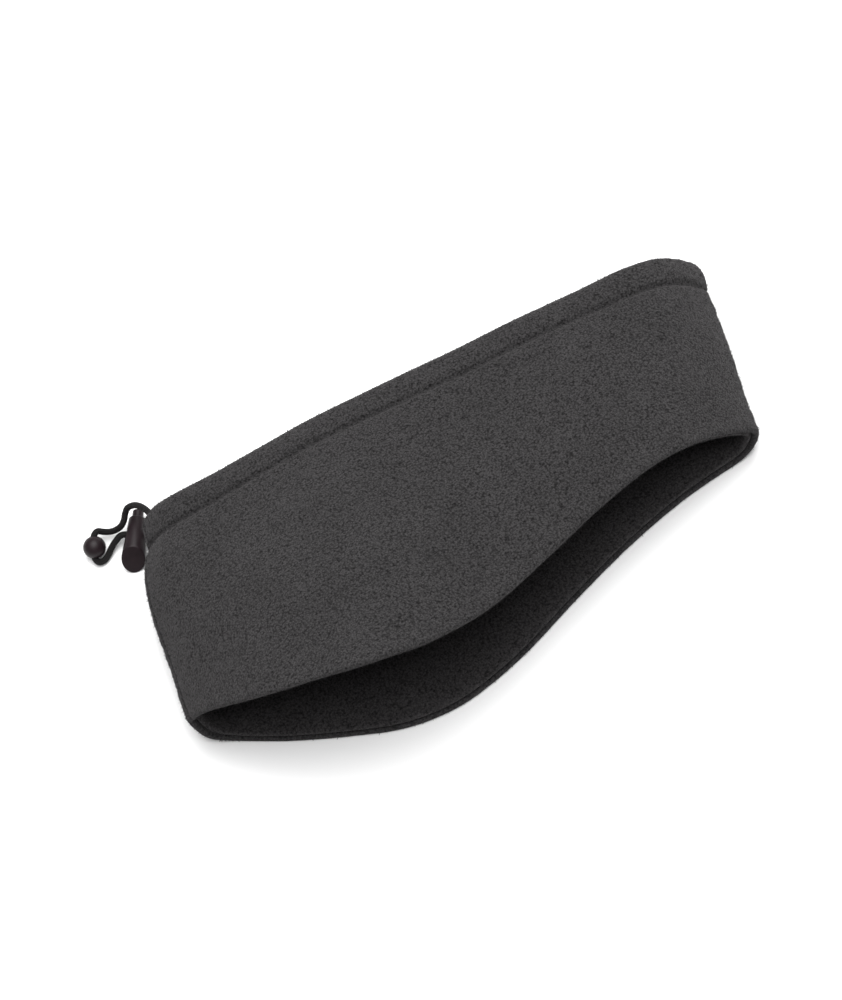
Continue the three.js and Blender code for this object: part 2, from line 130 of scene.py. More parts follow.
# The free cord's route in millimetres from the back end of the crown edge: from the upper exit over
# the lock's narrow end, through the bead and back through the lock to the lower exit
CORD_ROUTE = (
    (6.9, -7.1, 25.4),
    (5.2, -6.6, 22.4),
    (4.4, -5.0, 19.9),
    (4.0, -2.4, 18.2),
    (3.8, 0.6, 17.2),
    (2.6, 4.6, 16.0),
    (0.4, 8.4, 14.4),
    (-2.0, 10.7, 12.4),
    (-4.3, 11.6, 10.4),
    (-6.0, 10.9, 8.6),
    (-7.3, 9.6, 7.4),
    (-9.3, 8.5, 6.2),
    (-11.8, 8.8, 4.7),
    (-14.4, 9.8, 3.7),
    (-16.6, 10.8, 4.0),
    (-18.6, 11.4, 5.3),
    (-20.4, 9.8, 6.0),
    (-22.0, 6.3, 4.3),
    (-23.6, 2.8, 2.6),
    (-22.9, 1.1, 1.9),
    (-20.8, 0.9, 1.6),
    (-18.6, 2.1, 1.9),
    (-16.3, 3.7, 2.8),
    (-13.6, 5.1, 3.7),
    (-10.7, 5.6, 4.75),
    (-5.89, 3.45, 3.8),
    (-1.4, 1.5, 2.9),
    (1.4, 2.0, 5.6),
    (3.8, 1.4, 8.8),
    (4.5, -0.4, 10.5),
    (4.4, -2.6, 11.0),
    (4.5, -5.0, 11.1),
    (4.6, -6.7, 9.7),
    (5.3, -7.2, 7.8),
)
EXIT_INNER = 3  # the route's points where an exit starts and ends, counted from either end
EXIT_OUTER = 4
LOCK_SLOT_PLACE = (-5.89, 3.45)
LOCK_DIRECTION = (0.415, 0.91)
BEAD_PLACE = (-22.0, 6.3)
BEAD_DIRECTION = (0.38, 0.83, 0.4)

# Camera: what it looks at, how far it stands, and the band's tilt in the picture
LOOK_AT = Vector((-0.0110, 0.0109, 0.024))
CAMERA_DISTANCE = 0.9
CAMERA_ELEVATION = math.radians(62)
PICTURE_TILT = math.radians(26.1)

# Columns round each layer of the band, in the visible surfaces and in the tunnel that is cut out
FINE_COLUMNS = 280
COARSE_COLUMNS = 140
ROUND_STEPS = 12

# The cord's braid: strands each way round, the length of a weave, and its relief
BRAID_STRANDS = 6
BRAID_PITCH = 0.0009
BRAID_RELIEF = 0.05 * MM

# The fleece's fine unevenness: its depth and its wavelength, and tufts over those asked for, which
# make up for the faces without nap
FINE_UNEVENNESS = 0.07 * MM
FINE_WAVELENGTH = 0.007
SPARE_TUFTS = 1.6


def length_property(name, description, default):
    return FloatProperty(name=name, description=description, default=default, min=0.0, unit="LENGTH")


def colour_property(name, description, default):
    return FloatVectorProperty(
        name=name, description=description, default=default, size=3, min=0.0, max=1.0, subtype="COLOR"
    )


class HeadbandFleece(bpy.types.PropertyGroup):
    """Sizes and colours of the two fleece layers"""

    hem_length: length_property("Hem length", "Lying band from back fold to front fold along its hem", 0.2292)
    crown_length: length_property("Crown length", "The same along its crown edge", 0.2278)
    back_lean: length_property("Back lean", "How far the crown edge starts in front of the hem", 0.0131)
    ear_height: length_property("Ear height", "Crown edge to hem over the ear", 0.112)
    hem_rise: length_property("Hem rise", "Upper layer's greatest height at the hem", 0.061)
    crown_rise: length_property("Crown rise", "Upper layer's height at the crown edge", 0.038)
    belly: length_property("Belly", "How far the upper layer bulges between its edges", 0.003)
    shell: length_property("Shell thickness", "Thickness of the outer fleece", 0.0024)
    lining: length_property("Lining thickness", "Thickness of the inner fleece", 0.0024)
    layer_gap: length_property("Layer gap", "Gap between the two layers", 0.0005)
    hem_edge_set: length_property("Hem edge set", "How far the lining's hem stands inside the shell's", 0.001)
    casing: length_property("Casing", "Crown edge to stitch line", 0.013)
    casing_puff: length_property("Casing puff", "How far the casing stands out", 0.0011)
    flattened_below: length_property("Flattened below", "Under this height the puff goes", 0.012)
    cord_room: length_property("Cord room", "Between the cord and the casing's walls", 0.0007)
    stitch_depth: length_property("Stitch depth", "How far the stitches pull the surface in", 0.0013)
    stitch_half_width: length_property("Stitch half width", "Half the width of the stitched groove", 0.0017)
    stitch_pitch: length_property("Stitch pitch", "From one stitch to the next", 0.0026)
    stitch_length: length_property("Stitch length", "Length of the thread between two holes", 0.0019)
    thread: length_property("Thread", "Thickness of the sewing thread", 0.00035)
    back_seam_at: FloatProperty(
        name="Back seam at",
        description="Share of the way round where the centre-back seam lies",
        default=0.024,
    )
    back_seam_depth: length_property("Back seam depth", "Depth of the centre-back seam", 0.0010)
    back_seam_width: length_property("Back seam width", "Half width of the centre-back seam", 0.0008)
    nap_length: length_property("Nap length", "Length of the fleece's tufts", 0.0009)
    nap_width: length_property("Nap width", "Thickness of one tuft at its foot", 0.00022)
    nap_count: IntProperty(name="Nap count", description="Tufts on each napped face", default=45000, min=0)
    outer_colour: colour_property("Outer colour", "Colour of the outer fleece", (0.0290, 0.0278, 0.0284))
    # The lining's own colour, set a little lighter than the outer colour as painted light on the lining's far
    # hem.
    inner_colour: colour_property("Inner colour", "Colour of the inner fleece", (0.0300, 0.0285, 0.0292))
    thread_colour: colour_property("Thread colour", "Colour of the sewing thread", (0.016, 0.015, 0.0155))


class HeadbandTrim(bpy.types.PropertyGroup):
    """Sizes and colours of the cord, the cord lock and the bead"""

    cord: length_property("Cord", "Diameter of the elastic cord", 0.0022)
    braid: length_property("Braid", "How far its braided cover stands out", 0.00013)
    lock_length: length_property("Lock length", "Length of the cord lock's barrel", 0.0208)
    lock_wide: length_property("Lock width", "Diameter at the barrel's wide end", 0.0098)
    lock_rim: length_property("Lock rim", "Barrel's wall at the narrow end", 0.0008)
    lock_wall: length_property("Lock wall", "Barrel's wall at the closed end", 0.0013)
    lock_edge: length_property("Lock edge", "Rounding of the ends", 0.0006)
    face_tilt: FloatProperty(
        name="Face tilt", description="How far the thumb face leans back", default=0.62, subtype="ANGLE"
    )
    lock_roll: FloatProperty(
        name="Lock roll",
        description="How far the lock is rolled towards the band",
        default=0.21,
        subtype="ANGLE",
    )
    plunger_wall: length_property("Plunger wall", "Beside the plunger's slot", 0.00065)
    plunger_clearance: length_property("Plunger clearance", "Between plunger and bore", 0.0003)
    plunger_out: length_property("Plunger out", "How far the plunger stands out", 0.0034)
    plunger_travel: length_property("Plunger travel", "How far the plunger goes in", 0.0018)
    slot_clearance: length_property("Slot clearance", "Around the cord in the lock", 0.00035)
    slot_from_end: length_property("Slot from end", "Slot to the barrel's narrow end", 0.007)
    rest_gap: length_property("Rest gap", "Between the lock and the surface", 0.0001)
    bead: length_property("Bead", "Diameter of the bead", 0.0086)
    bead_clearance: length_property("Bead clearance", "Around the cord in the bead", 0.0004)
    cord_colour: colour_property("Cord colour", "Colour of the elastic cord", (0.0065, 0.0058, 0.0060))
    plastic_colour: colour_property("Plastic colour", "Colour of lock and bead", (0.0125, 0.0072, 0.0090))


class HeadbandStage(bpy.types.PropertyGroup):
    """Floor and light"""

    floor_size: length_property("Floor size", "Side of the square floor", 6.0)
    floor_colour: colour_property("Floor colour", "Colour of floor and surroundings", (0.93, 0.93, 0.93))
    surround_strength: FloatProperty(
        name="Surround strength", description="Light from all around", default=0.38, min=0.0
    )
    key_power: FloatProperty(
        name="Key power", description="Large soft light, back right", default=8.0, min=0.0
    )
    top_power: FloatProperty(
        name="Top power", description="Large soft light above", default=22.0, min=0.0
    )


def smoothstep(value, low, high):
    t = np.clip((value - low) / (high - low), 0, 1)
    return t * t * (3 - 2 * t)


def from_table(table, column, along):
    """Values of a table's column at shares along it, on a smooth curve through the rows."""
    rows = np.array(table)
    place, value = rows[:, 0], rows[:, column]
    last = len(rows) - 1
    row = np.clip(np.searchsorted(place, along, side="left") - 1, 0, last - 1)
    before, after = np.maximum(row - 1, 0), np.minimum(row + 2, last)
    span = place[row + 1] - place[row]
    slope_in = (value[row + 1] - value[before]) / (place[row + 1] - place[before]) * span
    slope_out = (value[after] - value[row]) / (place[after] - place[row]) * span
    t = (along - place[row]) / span
    bend = 2 * value[row] - 2 * value[row + 1] + slope_in + slope_out
    rise = 3 * value[row + 1] - 3 * value[row] - 2 * slope_in - slope_out
    return ((bend * t + rise) * t + slope_in) * t + value[row]


def smooth_curve(corners, count, closed):
    """Points on the centripetal curve through the corners."""
    total = len(corners) if closed else len(corners) - 1
    t = np.linspace(0, total, count, endpoint=not closed)
    i = np.minimum(np.floor(t).astype(int), total - 1)
    w = (t - i)[:, None]
    if closed:
        p0, p1, p2, p3 = (corners[(i + k) % total] for k in (-1, 0, 1, 2))
    else:
        ends = np.vstack([2 * corners[0] - corners[1], corners, 2 * corners[-1] - corners[-2]])
        p0, p1, p2, p3 = (ends[i + k] for k in range(4))
    spans = ((p0, p1), (p1, p2), (p2, p3))
    d0, d1, d2 = (np.maximum(np.linalg.norm(b - a, axis=1), 1e-9)[:, None] ** 0.5 for a, b in spans)
    leave = ((p1 - p0) / d0 - (p2 - p0) / (d0 + d1) + (p2 - p1) / d1) * d1
    arrive = ((p2 - p1) / d1 - (p3 - p1) / (d1 + d2) + (p3 - p2) / d2) * d1
    square = -3 * p1 + 3 * p2 - 2 * leave - arrive
    cube = 2 * p1 - 2 * p2 + leave + arrive
    return p1 + leave * w + square * w**2 + cube * w**3


def evenly(points, count):
    """The same open line in equal steps."""
    steps = np.linalg.norm(np.diff(points, axis=0), axis=1)
    run = np.concatenate([[0], np.cumsum(steps)])
    at = np.linspace(0, run[-1], count)
    return np.stack([np.interp(at, run, points[:, k]) for k in range(points.shape[1])], axis=1), run[-1]


def waves(u, v, wavelength, seed, count=14):
    """Soft unevenness with a spread of one, from waves in random directions."""
    rng = np.random.default_rng(seed)
    total = np.zeros(np.broadcast(u, v).shape)
    for _ in range(count):
        angle, phase = rng.uniform(0, 2 * math.pi, 2)
        k = 2 * math.pi / (wavelength * rng.uniform(0.7, 1.5))
        total += np.sin(k * (math.cos(angle) * u + math.sin(angle) * v) + phase)
    return total * math.sqrt(2 / count)


class Band:
    """The lying band's outer surface, in columns round it from the centre back."""

    def __init__(self, size, per_side):
        self.size = size
        even = np.arange(1, per_side) / per_side
        side = 0.5 * even + 0.25 * (1 - np.cos(math.pi * even))
        self.shares = np.concatenate([[0.0], side, [1.0], 1 + side])
        self.along = np.where(self.shares <= 1, self.shares, 2 - self.shares)[:, None]
        self.upper = (self.shares < 1)[:, None]
        crown_back = -size.hem_length / 2 + size.back_lean
        self.crown, self.round = self.edge_loop(CROWN_COLUMN, crown_back, size.crown_length, size.crown_rise)
        self.hem, hem_round = self.edge_loop(HEM_COLUMN, -size.hem_length / 2, size.hem_length, size.hem_rise)
        self.round = (self.round + hem_round)[:, None] / 2
        self.total_round = float(self.round[-1, 0] + self.round[1, 0])
        self.crown_out = self.outward(self.crown)
        self.hem_out = self.outward(self.hem)
        flat = self.along[:, 0]
        self.crown_y = (size.ear_height * (0.5 + from_table(CUT, LIFT_COLUMN, flat)))[:, None]
        hem_y = (size.ear_height * (0.5 - from_table(CUT, DROP_COLUMN, flat)))[:, None]
        self.height = self.crown_y - hem_y
        self.own_crown_back = Vector((crown_back, float(self.crown_y[0, 0]), 0))
        self.seam_at = size.back_seam_at * float(self.round[per_side, 0])
        self.seam_distance = np.abs(self.round - self.seam_at)

    def edge_loop(self, column, start, length, rise):
        rows = np.array(UPPER_LAYER + LOWER_LAYER)
        corners = np.stack([start + rows[:, 0] * length, rows[:, column] * rise], axis=1)
        fine = smooth_curve(corners, 3000, closed=True)
        fine = np.vstack([fine, fine[:1]])
        fine[:, 1] = np.maximum(fine[:, 1], 0)
        run = np.concatenate([[0], np.cumsum(np.linalg.norm(np.diff(fine, axis=0), axis=1))])
        front = int(np.argmax(fine[:, 0]))
        lower = run[front] + (self.shares - 1) * (run[-1] - run[front])
        at = np.where(self.shares <= 1, self.shares * run[front], lower)
        return np.stack([np.interp(at, run, fine[:, 0]), np.interp(at, run, fine[:, 1])], axis=1), at

    def outward(self, loop):
        reach = max(1, round(len(loop) / 140))
        step = np.roll(loop, -reach, axis=0) - np.roll(loop, reach, axis=0)
        out = np.stack([-step[:, 1], step[:, 0]], axis=1)
        return out / np.linalg.norm(out, axis=1)[:, None]

    def seam_groove(self):
        size = self.size
        return size.back_seam_depth * np.exp(-((self.seam_distance / size.back_seam_width) ** 2))

    def wall(self, down, depth):
        """Points at distances down from the crown edge and at depths inside the outer surface."""
        size = self.size
        share = np.clip(down / self.height, 0, 1)
        spread = from_table(BACK_SPREAD, SPREAD_COLUMN, share)
        lean = spread + (share - spread) * self.along
        crown_x, crown_z = self.crown[:, :1], self.crown[:, 1:]
        hem_x, hem_z = self.hem[:, :1], self.hem[:, 1:]
        rise = (hem_z - crown_z) / self.height
        x = crown_x + (hem_x - crown_x) * lean
        z = crown_z + (hem_z - crown_z) * share
        out_x = self.crown_out[:, :1] * (1 - share) + self.hem_out[:, :1] * share
        out_z = self.crown_out[:, 1:] * (1 - share) + self.hem_out[:, 1:] * share
        long = np.hypot(out_x, out_z)
        lifted = smoothstep(z, 0, size.flattened_below)
        belly = self.upper * size.belly * np.sin(math.pi * share) * np.sin(math.pi * self.along)
        puff = size.casing_puff * np.sin(math.pi * np.clip(down / size.casing, 0, 1)) * lifted
        offset = belly + puff + self.unevenness(down) * lifted - depth
        y = self.crown_y - down * np.sqrt(1 - rise**2)
        return np.stack([x + out_x / long * offset, y + np.zeros_like(x), z + out_z / long * offset], axis=2)

    def unevenness(self, down):
        back = np.minimum(self.round, self.total_round - self.round)
        fade = smoothstep(back, 0, 0.02)
        return 0.35 * MM * waves(self.round, down, 0.045, seed=3) * fade


def row_frame(points, band, crown_back):
    """Moves points from the band's own frame to the row frame."""
    return points + np.array(crown_back - band.own_crown_back)


def crown_back_place():
    """The back end of the crown edge in the row frame, from where the bead lies."""
    low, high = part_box("cord_bead")
    middle = (low + high) / 2
    return Vector((middle.x - BEAD_PLACE[0] * MM, middle.y - BEAD_PLACE[1] * MM, 0))


def new_object(name, mesh):
    piece = bpy.data.objects.new(name, mesh)
    bpy.context.scene.collection.objects.link(piece)
    return piece


def ring_mesh(name, points, round_run=None, section_run=None, nap=None):
    """A closed surface through columns of points, joined both ways."""
    columns, rows = points.shape[:2]
    grid = np.arange(columns * rows).reshape(columns, rows)
    right = np.roll(grid, -1, axis=0)
    corners = [grid, right, np.roll(right, -1, axis=1), np.roll(grid, -1, axis=1)]
    faces = np.stack(corners, axis=2).reshape(-1, 4)
    mesh = bpy.data.meshes.new(name)
    mesh.from_pydata(points.reshape(-1, 3), [], faces.tolist())
    mesh.shade_smooth()
    if round_run is not None:
        u = np.broadcast_to(round_run, (columns, rows)).reshape(-1)
        v = np.broadcast_to(section_run, (columns, rows)).reshape(-1)
        loops = faces.reshape(-1)
        uv = np.stack([u[loops], v[loops]], axis=1)
        wrapped = np.repeat(np.arange(len(faces)) // rows == columns - 1, 4)
        uv[wrapped & (uv[:, 0] == 0), 0] = float(round_run[-1]) + float(round_run[1])
        mesh.uv_layers.new(name="Cloth").data.foreach_set("uv", uv.reshape(-1).astype(np.float32))
    if nap is not None:
        shown = np.broadcast_to(np.asarray(nap, float), (columns, rows)).reshape(-1)
        layer = mesh.attributes.new("nap", "FLOAT", "POINT")
        layer.data.foreach_set("value", shown.astype(np.float32))
    return mesh


def tube_mesh(name, line, radius, sides, relief=None):
    """A closed tube along a line, with UVs in metres along it and in turns round it."""
    line = [Vector(p) for p in line]
    ahead, behind = line[1:] + line[-1:], line[:1] + line[:-1]
    tangents = [(after - before).normalized() for after, before in zip(ahead, behind)]
    side = tangents[0].orthogonal().normalized()
    rings, run, runs = [], 0.0, []
    for i, (place, tangent) in enumerate(zip(line, tangents)):
        if i:
            side = tangents[i - 1].rotation_difference(tangent) @ side
            run += (place - line[i - 1]).length
        side = (side - tangent * side.dot(tangent)).normalized()
        other = tangent.cross(side)
        runs.append(run)
        for k in range(sides):
            turn = 2 * math.pi * k / sides
            r = radius + (relief(k / sides, run) if relief else 0.0)
            rings.append(place + (side * math.cos(turn) + other * math.sin(turn)) * r)
    faces, uvs = [], []
    for i in range(len(line) - 1):
        for k in range(sides):
            n = (k + 1) % sides
            faces.append((i * sides + k, i * sides + n, (i + 1) * sides + n, (i + 1) * sides + k))
            u, un = k / sides, (k + 1) / sides
            uvs += [(u, runs[i]), (un, runs[i]), (un, runs[i + 1]), (u, runs[i + 1])]
    last = (len(line) - 1) * sides
    faces.append(tuple(reversed(range(sides))))
    faces.append(tuple(range(last, last + sides)))
    uvs += [(0.5, runs[0])] * sides + [(0.5, runs[-1])] * sides
    mesh = bpy.data.meshes.new(name)
    mesh.from_pydata([tuple(p) for p in rings], [], faces)
    mesh.uv_layers.new(name="Cord").data.foreach_set("uv", np.array(uvs, np.float32).reshape(-1))
    mesh.shade_smooth()
    return mesh


def turned_mesh(name, profile, sides=72):
    """A closed mesh turned round Z from a profile of radius and height, up its outside."""
    bm = bmesh.new()
    rings = []
    for radius, height in profile:
        if radius < 1e-7:
            rings.append([bm.verts.new((0, 0, height))])
            continue
        turns = [2 * math.pi * k / sides for k in range(sides)]
        rings.append([bm.verts.new((radius * math.cos(a), radius * math.sin(a), height)) for a in turns])
    for low, high in zip(rings, rings[1:]):
        for k in range(sides):
            n = (k + 1) % sides
            if len(low) == 1:
                bm.faces.new((low[0], high[n], high[k]))
            elif len(high) == 1:
                bm.faces.new((low[k], low[n], high[0]))
            else:
                bm.faces.new((low[k], low[n], high[n], high[k]))
    bmesh.ops.recalc_face_normals(bm, faces=bm.faces)
    mesh = bpy.data.meshes.new(name)
    bm.to_mesh(mesh)
    bm.free()
    return mesh


def rounded(corners, radii, steps=6):
    """A profile through corners, each rounded by its radius."""
    points = []
    for i, (corner, radius) in enumerate(zip(corners, radii)):
        here = Vector(corner)
        if radius <= 0 or i in (0, len(corners) - 1):
            points.append(tuple(here))
            continue
        back = (Vector(corners[i - 1]) - here).normalized()
        ahead = (Vector(corners[i + 1]) - here).normalized()
        half = back.angle(ahead) / 2
        reach = radius / math.tan(half)
        start, end = here + back * reach, here + ahead * reach
        for k in range(steps + 1):
            t = k / steps
            points.append(tuple(start.lerp(here, t).lerp(here.lerp(end, t), t)))
    return points


def slot_cutter(name, width, length, depth, sides=20):
    """A slot along Z, open along X."""
    straight = (length - width) / 2
    outline = []
    for k in range(sides + 1):
        a = math.pi * k / sides
        outline.append((width / 2 * math.cos(a), straight + width / 2 * math.sin(a)))
    for k in range(sides + 1):
        a = math.pi * (1 + k / sides)
        outline.append((width / 2 * math.cos(a), -straight + width / 2 * math.sin(a)))
    bm = bmesh.new()
    near = [bm.verts.new((-depth / 2, y, z)) for y, z in outline]
    far = [bm.verts.new((depth / 2, y, z)) for y, z in outline]
    bm.faces.new(near)
    bm.faces.new(far)
    for k in range(len(outline)):
        n = (k + 1) % len(outline)
        bm.faces.new((near[k], near[n], far[n], far[k]))
    bmesh.ops.recalc_face_normals(bm, faces=bm.faces)
    mesh = bpy.data.meshes.new(name)
    bm.to_mesh(mesh)
    bm.free()
    return mesh


def evaluated_mesh(piece):
    """The piece's mesh with its modifiers worked out; the modifiers are removed."""
    graph = bpy.context.evaluated_depsgraph_get()
    mesh = bpy.data.meshes.new_from_object(
        piece.evaluated_get(graph), preserve_all_data_layers=True, depsgraph=graph
    )
    piece.modifiers.clear()
    return mesh


def cut(piece, *cutters):
    """Takes the cutters out of the piece, and removes them."""
    for cutter in cutters:
        modifier = piece.modifiers.new("cut", "BOOLEAN")
        modifier.operation = "DIFFERENCE"
        modifier.solver = "MANIFOLD"
        modifier.object = cutter
    bpy.context.view_layer.update()
    before = piece.data
    piece.data = evaluated_mesh(piece)
    piece.data.materials.clear()
    bpy.data.meshes.remove(before)
    for cutter in cutters:
        bpy.data.objects.remove(cutter)


def soften_edges(piece, width, segments=3, angle=35):
    """Rounds the piece's sharp edges."""
    modifier = piece.modifiers.new("edges", "BEVEL")
    modifier.width = width
    modifier.segments = segments
    modifier.limit_method = "ANGLE"
    modifier.angle_limit = math.radians(angle)
    modifier.harden_normals = True
    before = piece.data
    piece.data.shade_smooth()
    piece.data = evaluated_mesh(piece)
    bpy.data.meshes.remove(before)


def pointed(direction):
    """Turns a piece made along Z, with its back to +Y, to point along a direction, back up."""
    z = Vector(direction).normalized()
    x = Vector((0, 0, 1)).cross(z).normalized()
    y = z.cross(x)
    return Matrix((x, y, z)).transposed().to_4x4()


def named_material(name):
    material = bpy.data.materials.get(name) or bpy.data.materials.new(name)
    material.use_nodes = True
    material.node_tree.nodes.clear()
    return material, material.node_tree.nodes, material.node_tree.links


def add_node(nodes, kind, place, **settings):
    node = nodes.new(kind)
    node.location = place
    for key, value in settings.items():
        setattr(node, key, value)
    return node


def set_inputs(node, values):
    for key, value in values.items():
        node.inputs[key].default_value = value


def fleece_material(name, colour):
    """Short dense nap: small soft clumps, darker between them as painted shade and lighter on their tops as
    painted light, with a faint sheen.
    """
    material, nodes, links = named_material(name)
    out = add_node(nodes, "ShaderNodeOutputMaterial", (900, 0))
    cloth = add_node(nodes, "ShaderNodeBsdfPrincipled", (600, 0))
    set_inputs(
        cloth,
        {
            "Roughness": 1.0,
            "Specular IOR Level": 0.08,
            "Sheen Weight": 0.10,
            "Sheen Roughness": 0.55,
            "Sheen Tint": (0.62, 0.59, 0.6, 1),
        },
    )
    place = add_node(nodes, "ShaderNodeTexCoord", (-900, 0))
    clumps = add_node(nodes, "ShaderNodeTexNoise", (-650, 200))
    set_inputs(clumps, {"Scale": 1650, "Detail": 3.0, "Roughness": 0.62, "Distortion": 0.7})
    curls = add_node(nodes, "ShaderNodeTexVoronoi", (-650, -100), feature="SMOOTH_F1")
    set_inputs(curls, {"Scale": 1350, "Smoothness": 0.7})
    patches = add_node(nodes, "ShaderNodeTexNoise", (-650, -400))
    set_inputs(patches, {"Scale": 55, "Detail": 2.0})
    for texture in (clumps, curls, patches):
        links.new(place.outputs["Object"], texture.inputs["Vector"])
    height = add_node(nodes, "ShaderNodeMath", (-400, 0), operation="MULTIPLY_ADD")
    links.new(curls.outputs["Distance"], height.inputs[0])
    height.inputs[1].default_value = -0.55
    links.new(clumps.outputs["Fac"], height.inputs[2])
    # The colour follows the bump height: painted shade in the hollows between the clumps, painted light on
    # their tops.
    tone = add_node(nodes, "ShaderNodeValToRGB", (-150, 200))
    dark, light = tone.color_ramp.elements
    dark.position, light.position = 0.0, 0.42
    dark.color = (*(c * 0.22 for c in colour), 1)
    light.color = (*(c * 1.55 for c in colour), 1)
    links.new(height.outputs[0], tone.inputs["Fac"])
    spread = add_node(nodes, "ShaderNodeMapRange", (-400, -400))
    set_inputs(spread, {"To Min": 0.86, "To Max": 1.14})
    links.new(patches.outputs["Fac"], spread.inputs["Value"])
    shaded = add_node(nodes, "ShaderNodeMix", (200, 200), data_type="RGBA", blend_type="MULTIPLY")
    set_inputs(shaded, {"Factor": 1.0})
    links.new(tone.outputs["Color"], shaded.inputs["A"])
    links.new(spread.outputs["Result"], shaded.inputs["B"])
    links.new(shaded.outputs["Result"], cloth.inputs["Base Color"])
    bump = add_node(nodes, "ShaderNodeBump", (300, -200))
    set_inputs(bump, {"Strength": 0.9, "Distance": 0.0006})
    links.new(height.outputs[0], bump.inputs["Height"])
    links.new(bump.outputs["Normal"], cloth.inputs["Normal"])
    links.new(cloth.outputs["BSDF"], out.inputs["Surface"])
    return material


def cord_material(name, colour):
    """Fine braid round the elastic: two sets of slanting strands, with painted shade in their grooves and
    painted light on their crests.
    """
    material, nodes, links = named_material(name)
    out = add_node(nodes, "ShaderNodeOutputMaterial", (900, 0))
    cover = add_node(nodes, "ShaderNodeBsdfPrincipled", (600, 0))
    set_inputs(cover, {"Roughness": 0.62, "Specular IOR Level": 0.15})
    place = add_node(nodes, "ShaderNodeUVMap", (-900, 0), uv_map="Cord")
    split = add_node(nodes, "ShaderNodeSeparateXYZ", (-720, 0))
    links.new(place.outputs["UV"], split.inputs[0])
    heights = []
    for slant, y in ((1, 150), (-1, -150)):
        turns = add_node(nodes, "ShaderNodeMath", (-540, y), operation="MULTIPLY")
        turns.inputs[1].default_value = slant * 2 * math.pi * BRAID_STRANDS
        links.new(split.outputs["X"], turns.inputs[0])
        run = add_node(nodes, "ShaderNodeMath", (-360, y), operation="MULTIPLY_ADD")
        run.inputs[1].default_value = 2 * math.pi / BRAID_PITCH
        links.new(split.outputs["Y"], run.inputs[0])
        links.new(turns.outputs[0], run.inputs[2])
        wave = add_node(nodes, "ShaderNodeMath", (-180, y), operation="SINE")
        links.new(run.outputs[0], wave.inputs[0])
        heights.append(wave)
    braid = add_node(nodes, "ShaderNodeMath", (0, 0), operation="MULTIPLY")
    links.new(heights[0].outputs[0], braid.inputs[0])
    links.new(heights[1].outputs[0], braid.inputs[1])
    # The colour follows the braid's relief: painted shade in the grooves, painted light on the crests.
    tone = add_node(nodes, "ShaderNodeMapRange", (180, 150))
    set_inputs(tone, {"From Min": -1.0, "To Min": 0.7, "To Max": 1.5})
    links.new(braid.outputs[0], tone.inputs["Value"])
    shaded = add_node(nodes, "ShaderNodeMix", (380, 150), data_type="RGBA", blend_type="MULTIPLY")
    set_inputs(shaded, {"Factor": 1.0, "A": (*colour, 1)})
    links.new(tone.outputs["Result"], shaded.inputs["B"])
    links.new(shaded.outputs["Result"], cover.inputs["Base Color"])
    bump = add_node(nodes, "ShaderNodeBump", (380, -200))
    set_inputs(bump, {"Strength": 0.8, "Distance": 0.00012})
    links.new(braid.outputs[0], bump.inputs["Height"])
    links.new(bump.outputs["Normal"], cover.inputs["Normal"])
    links.new(cover.outputs["BSDF"], out.inputs["Surface"])
    return material


def plastic_material(name, colour):
    """Moulded plastic with a soft sheen and a faintly uneven skin."""
    material, nodes, links = named_material(name)
    out = add_node(nodes, "ShaderNodeOutputMaterial", (700, 0))
    plastic = add_node(nodes, "ShaderNodeBsdfPrincipled", (400, 0))
    set_inputs(plastic, {"Specular IOR Level": 0.2})
    place = add_node(nodes, "ShaderNodeTexCoord", (-700, 0))
    cloudy = add_node(nodes, "ShaderNodeTexNoise", (-480, 150))
    set_inputs(cloudy, {"Scale": 260, "Detail": 4.0})
    grain = add_node(nodes, "ShaderNodeTexNoise", (-480, -200))
    set_inputs(grain, {"Scale": 2600, "Detail": 2.0})
    for texture in (cloudy, grain):
        links.new(place.outputs["Object"], texture.inputs["Vector"])
    tone = add_node(nodes, "ShaderNodeValToRGB", (-200, 200))
    dark, light = tone.color_ramp.elements
    dark.position, light.position = 0.3, 0.7
    dark.color = (*(c * 0.85 for c in colour), 1)
    light.color = (*(c * 1.15 for c in colour), 1)
    links.new(cloudy.outputs["Fac"], tone.inputs["Fac"])
    links.new(tone.outputs["Color"], plastic.inputs["Base Color"])
    rough = add_node(nodes, "ShaderNodeMapRange", (-200, -50))
    set_inputs(rough, {"To Min": 0.36, "To Max": 0.52})
    links.new(cloudy.outputs["Fac"], rough.inputs["Value"])
    links.new(rough.outputs["Result"], plastic.inputs["Roughness"])
    bump = add_node(nodes, "ShaderNodeBump", (150, -250))
    set_inputs(bump, {"Strength": 0.25, "Distance": 0.00005})
    links.new(grain.outputs["Fac"], bump.inputs["Height"])
    links.new(bump.outputs["Normal"], plastic.inputs["Normal"])
    links.new(plastic.outputs["BSDF"], out.inputs["Surface"])
    return material


def thread_material(name, colour):
    """Twisted sewing thread."""
    material, nodes, links = named_material(name)
    out = add_node(nodes, "ShaderNodeOutputMaterial", (500, 0))
    thread = add_node(nodes, "ShaderNodeBsdfPrincipled", (200, 0))
    set_inputs(thread, {"Roughness": 0.7})
    place = add_node(nodes, "ShaderNodeTexCoord", (-500, 0))
    fibres = add_node(nodes, "ShaderNodeTexNoise", (-300, 0))
    set_inputs(fibres, {"Scale": 3000})
    links.new(place.outputs["Object"], fibres.inputs["Vector"])
    tone = add_node(nodes, "ShaderNodeValToRGB", (-80, 0))
    tone.color_ramp.elements[0].color = (*(c * 0.7 for c in colour), 1)
    tone.color_ramp.elements[1].color = (*(c * 1.4 for c in colour), 1)
    links.new(fibres.outputs["Fac"], tone.inputs["Fac"])
    links.new(tone.outputs["Color"], thread.inputs["Base Color"])
    links.new(thread.outputs["BSDF"], out.inputs["Surface"])
    return material


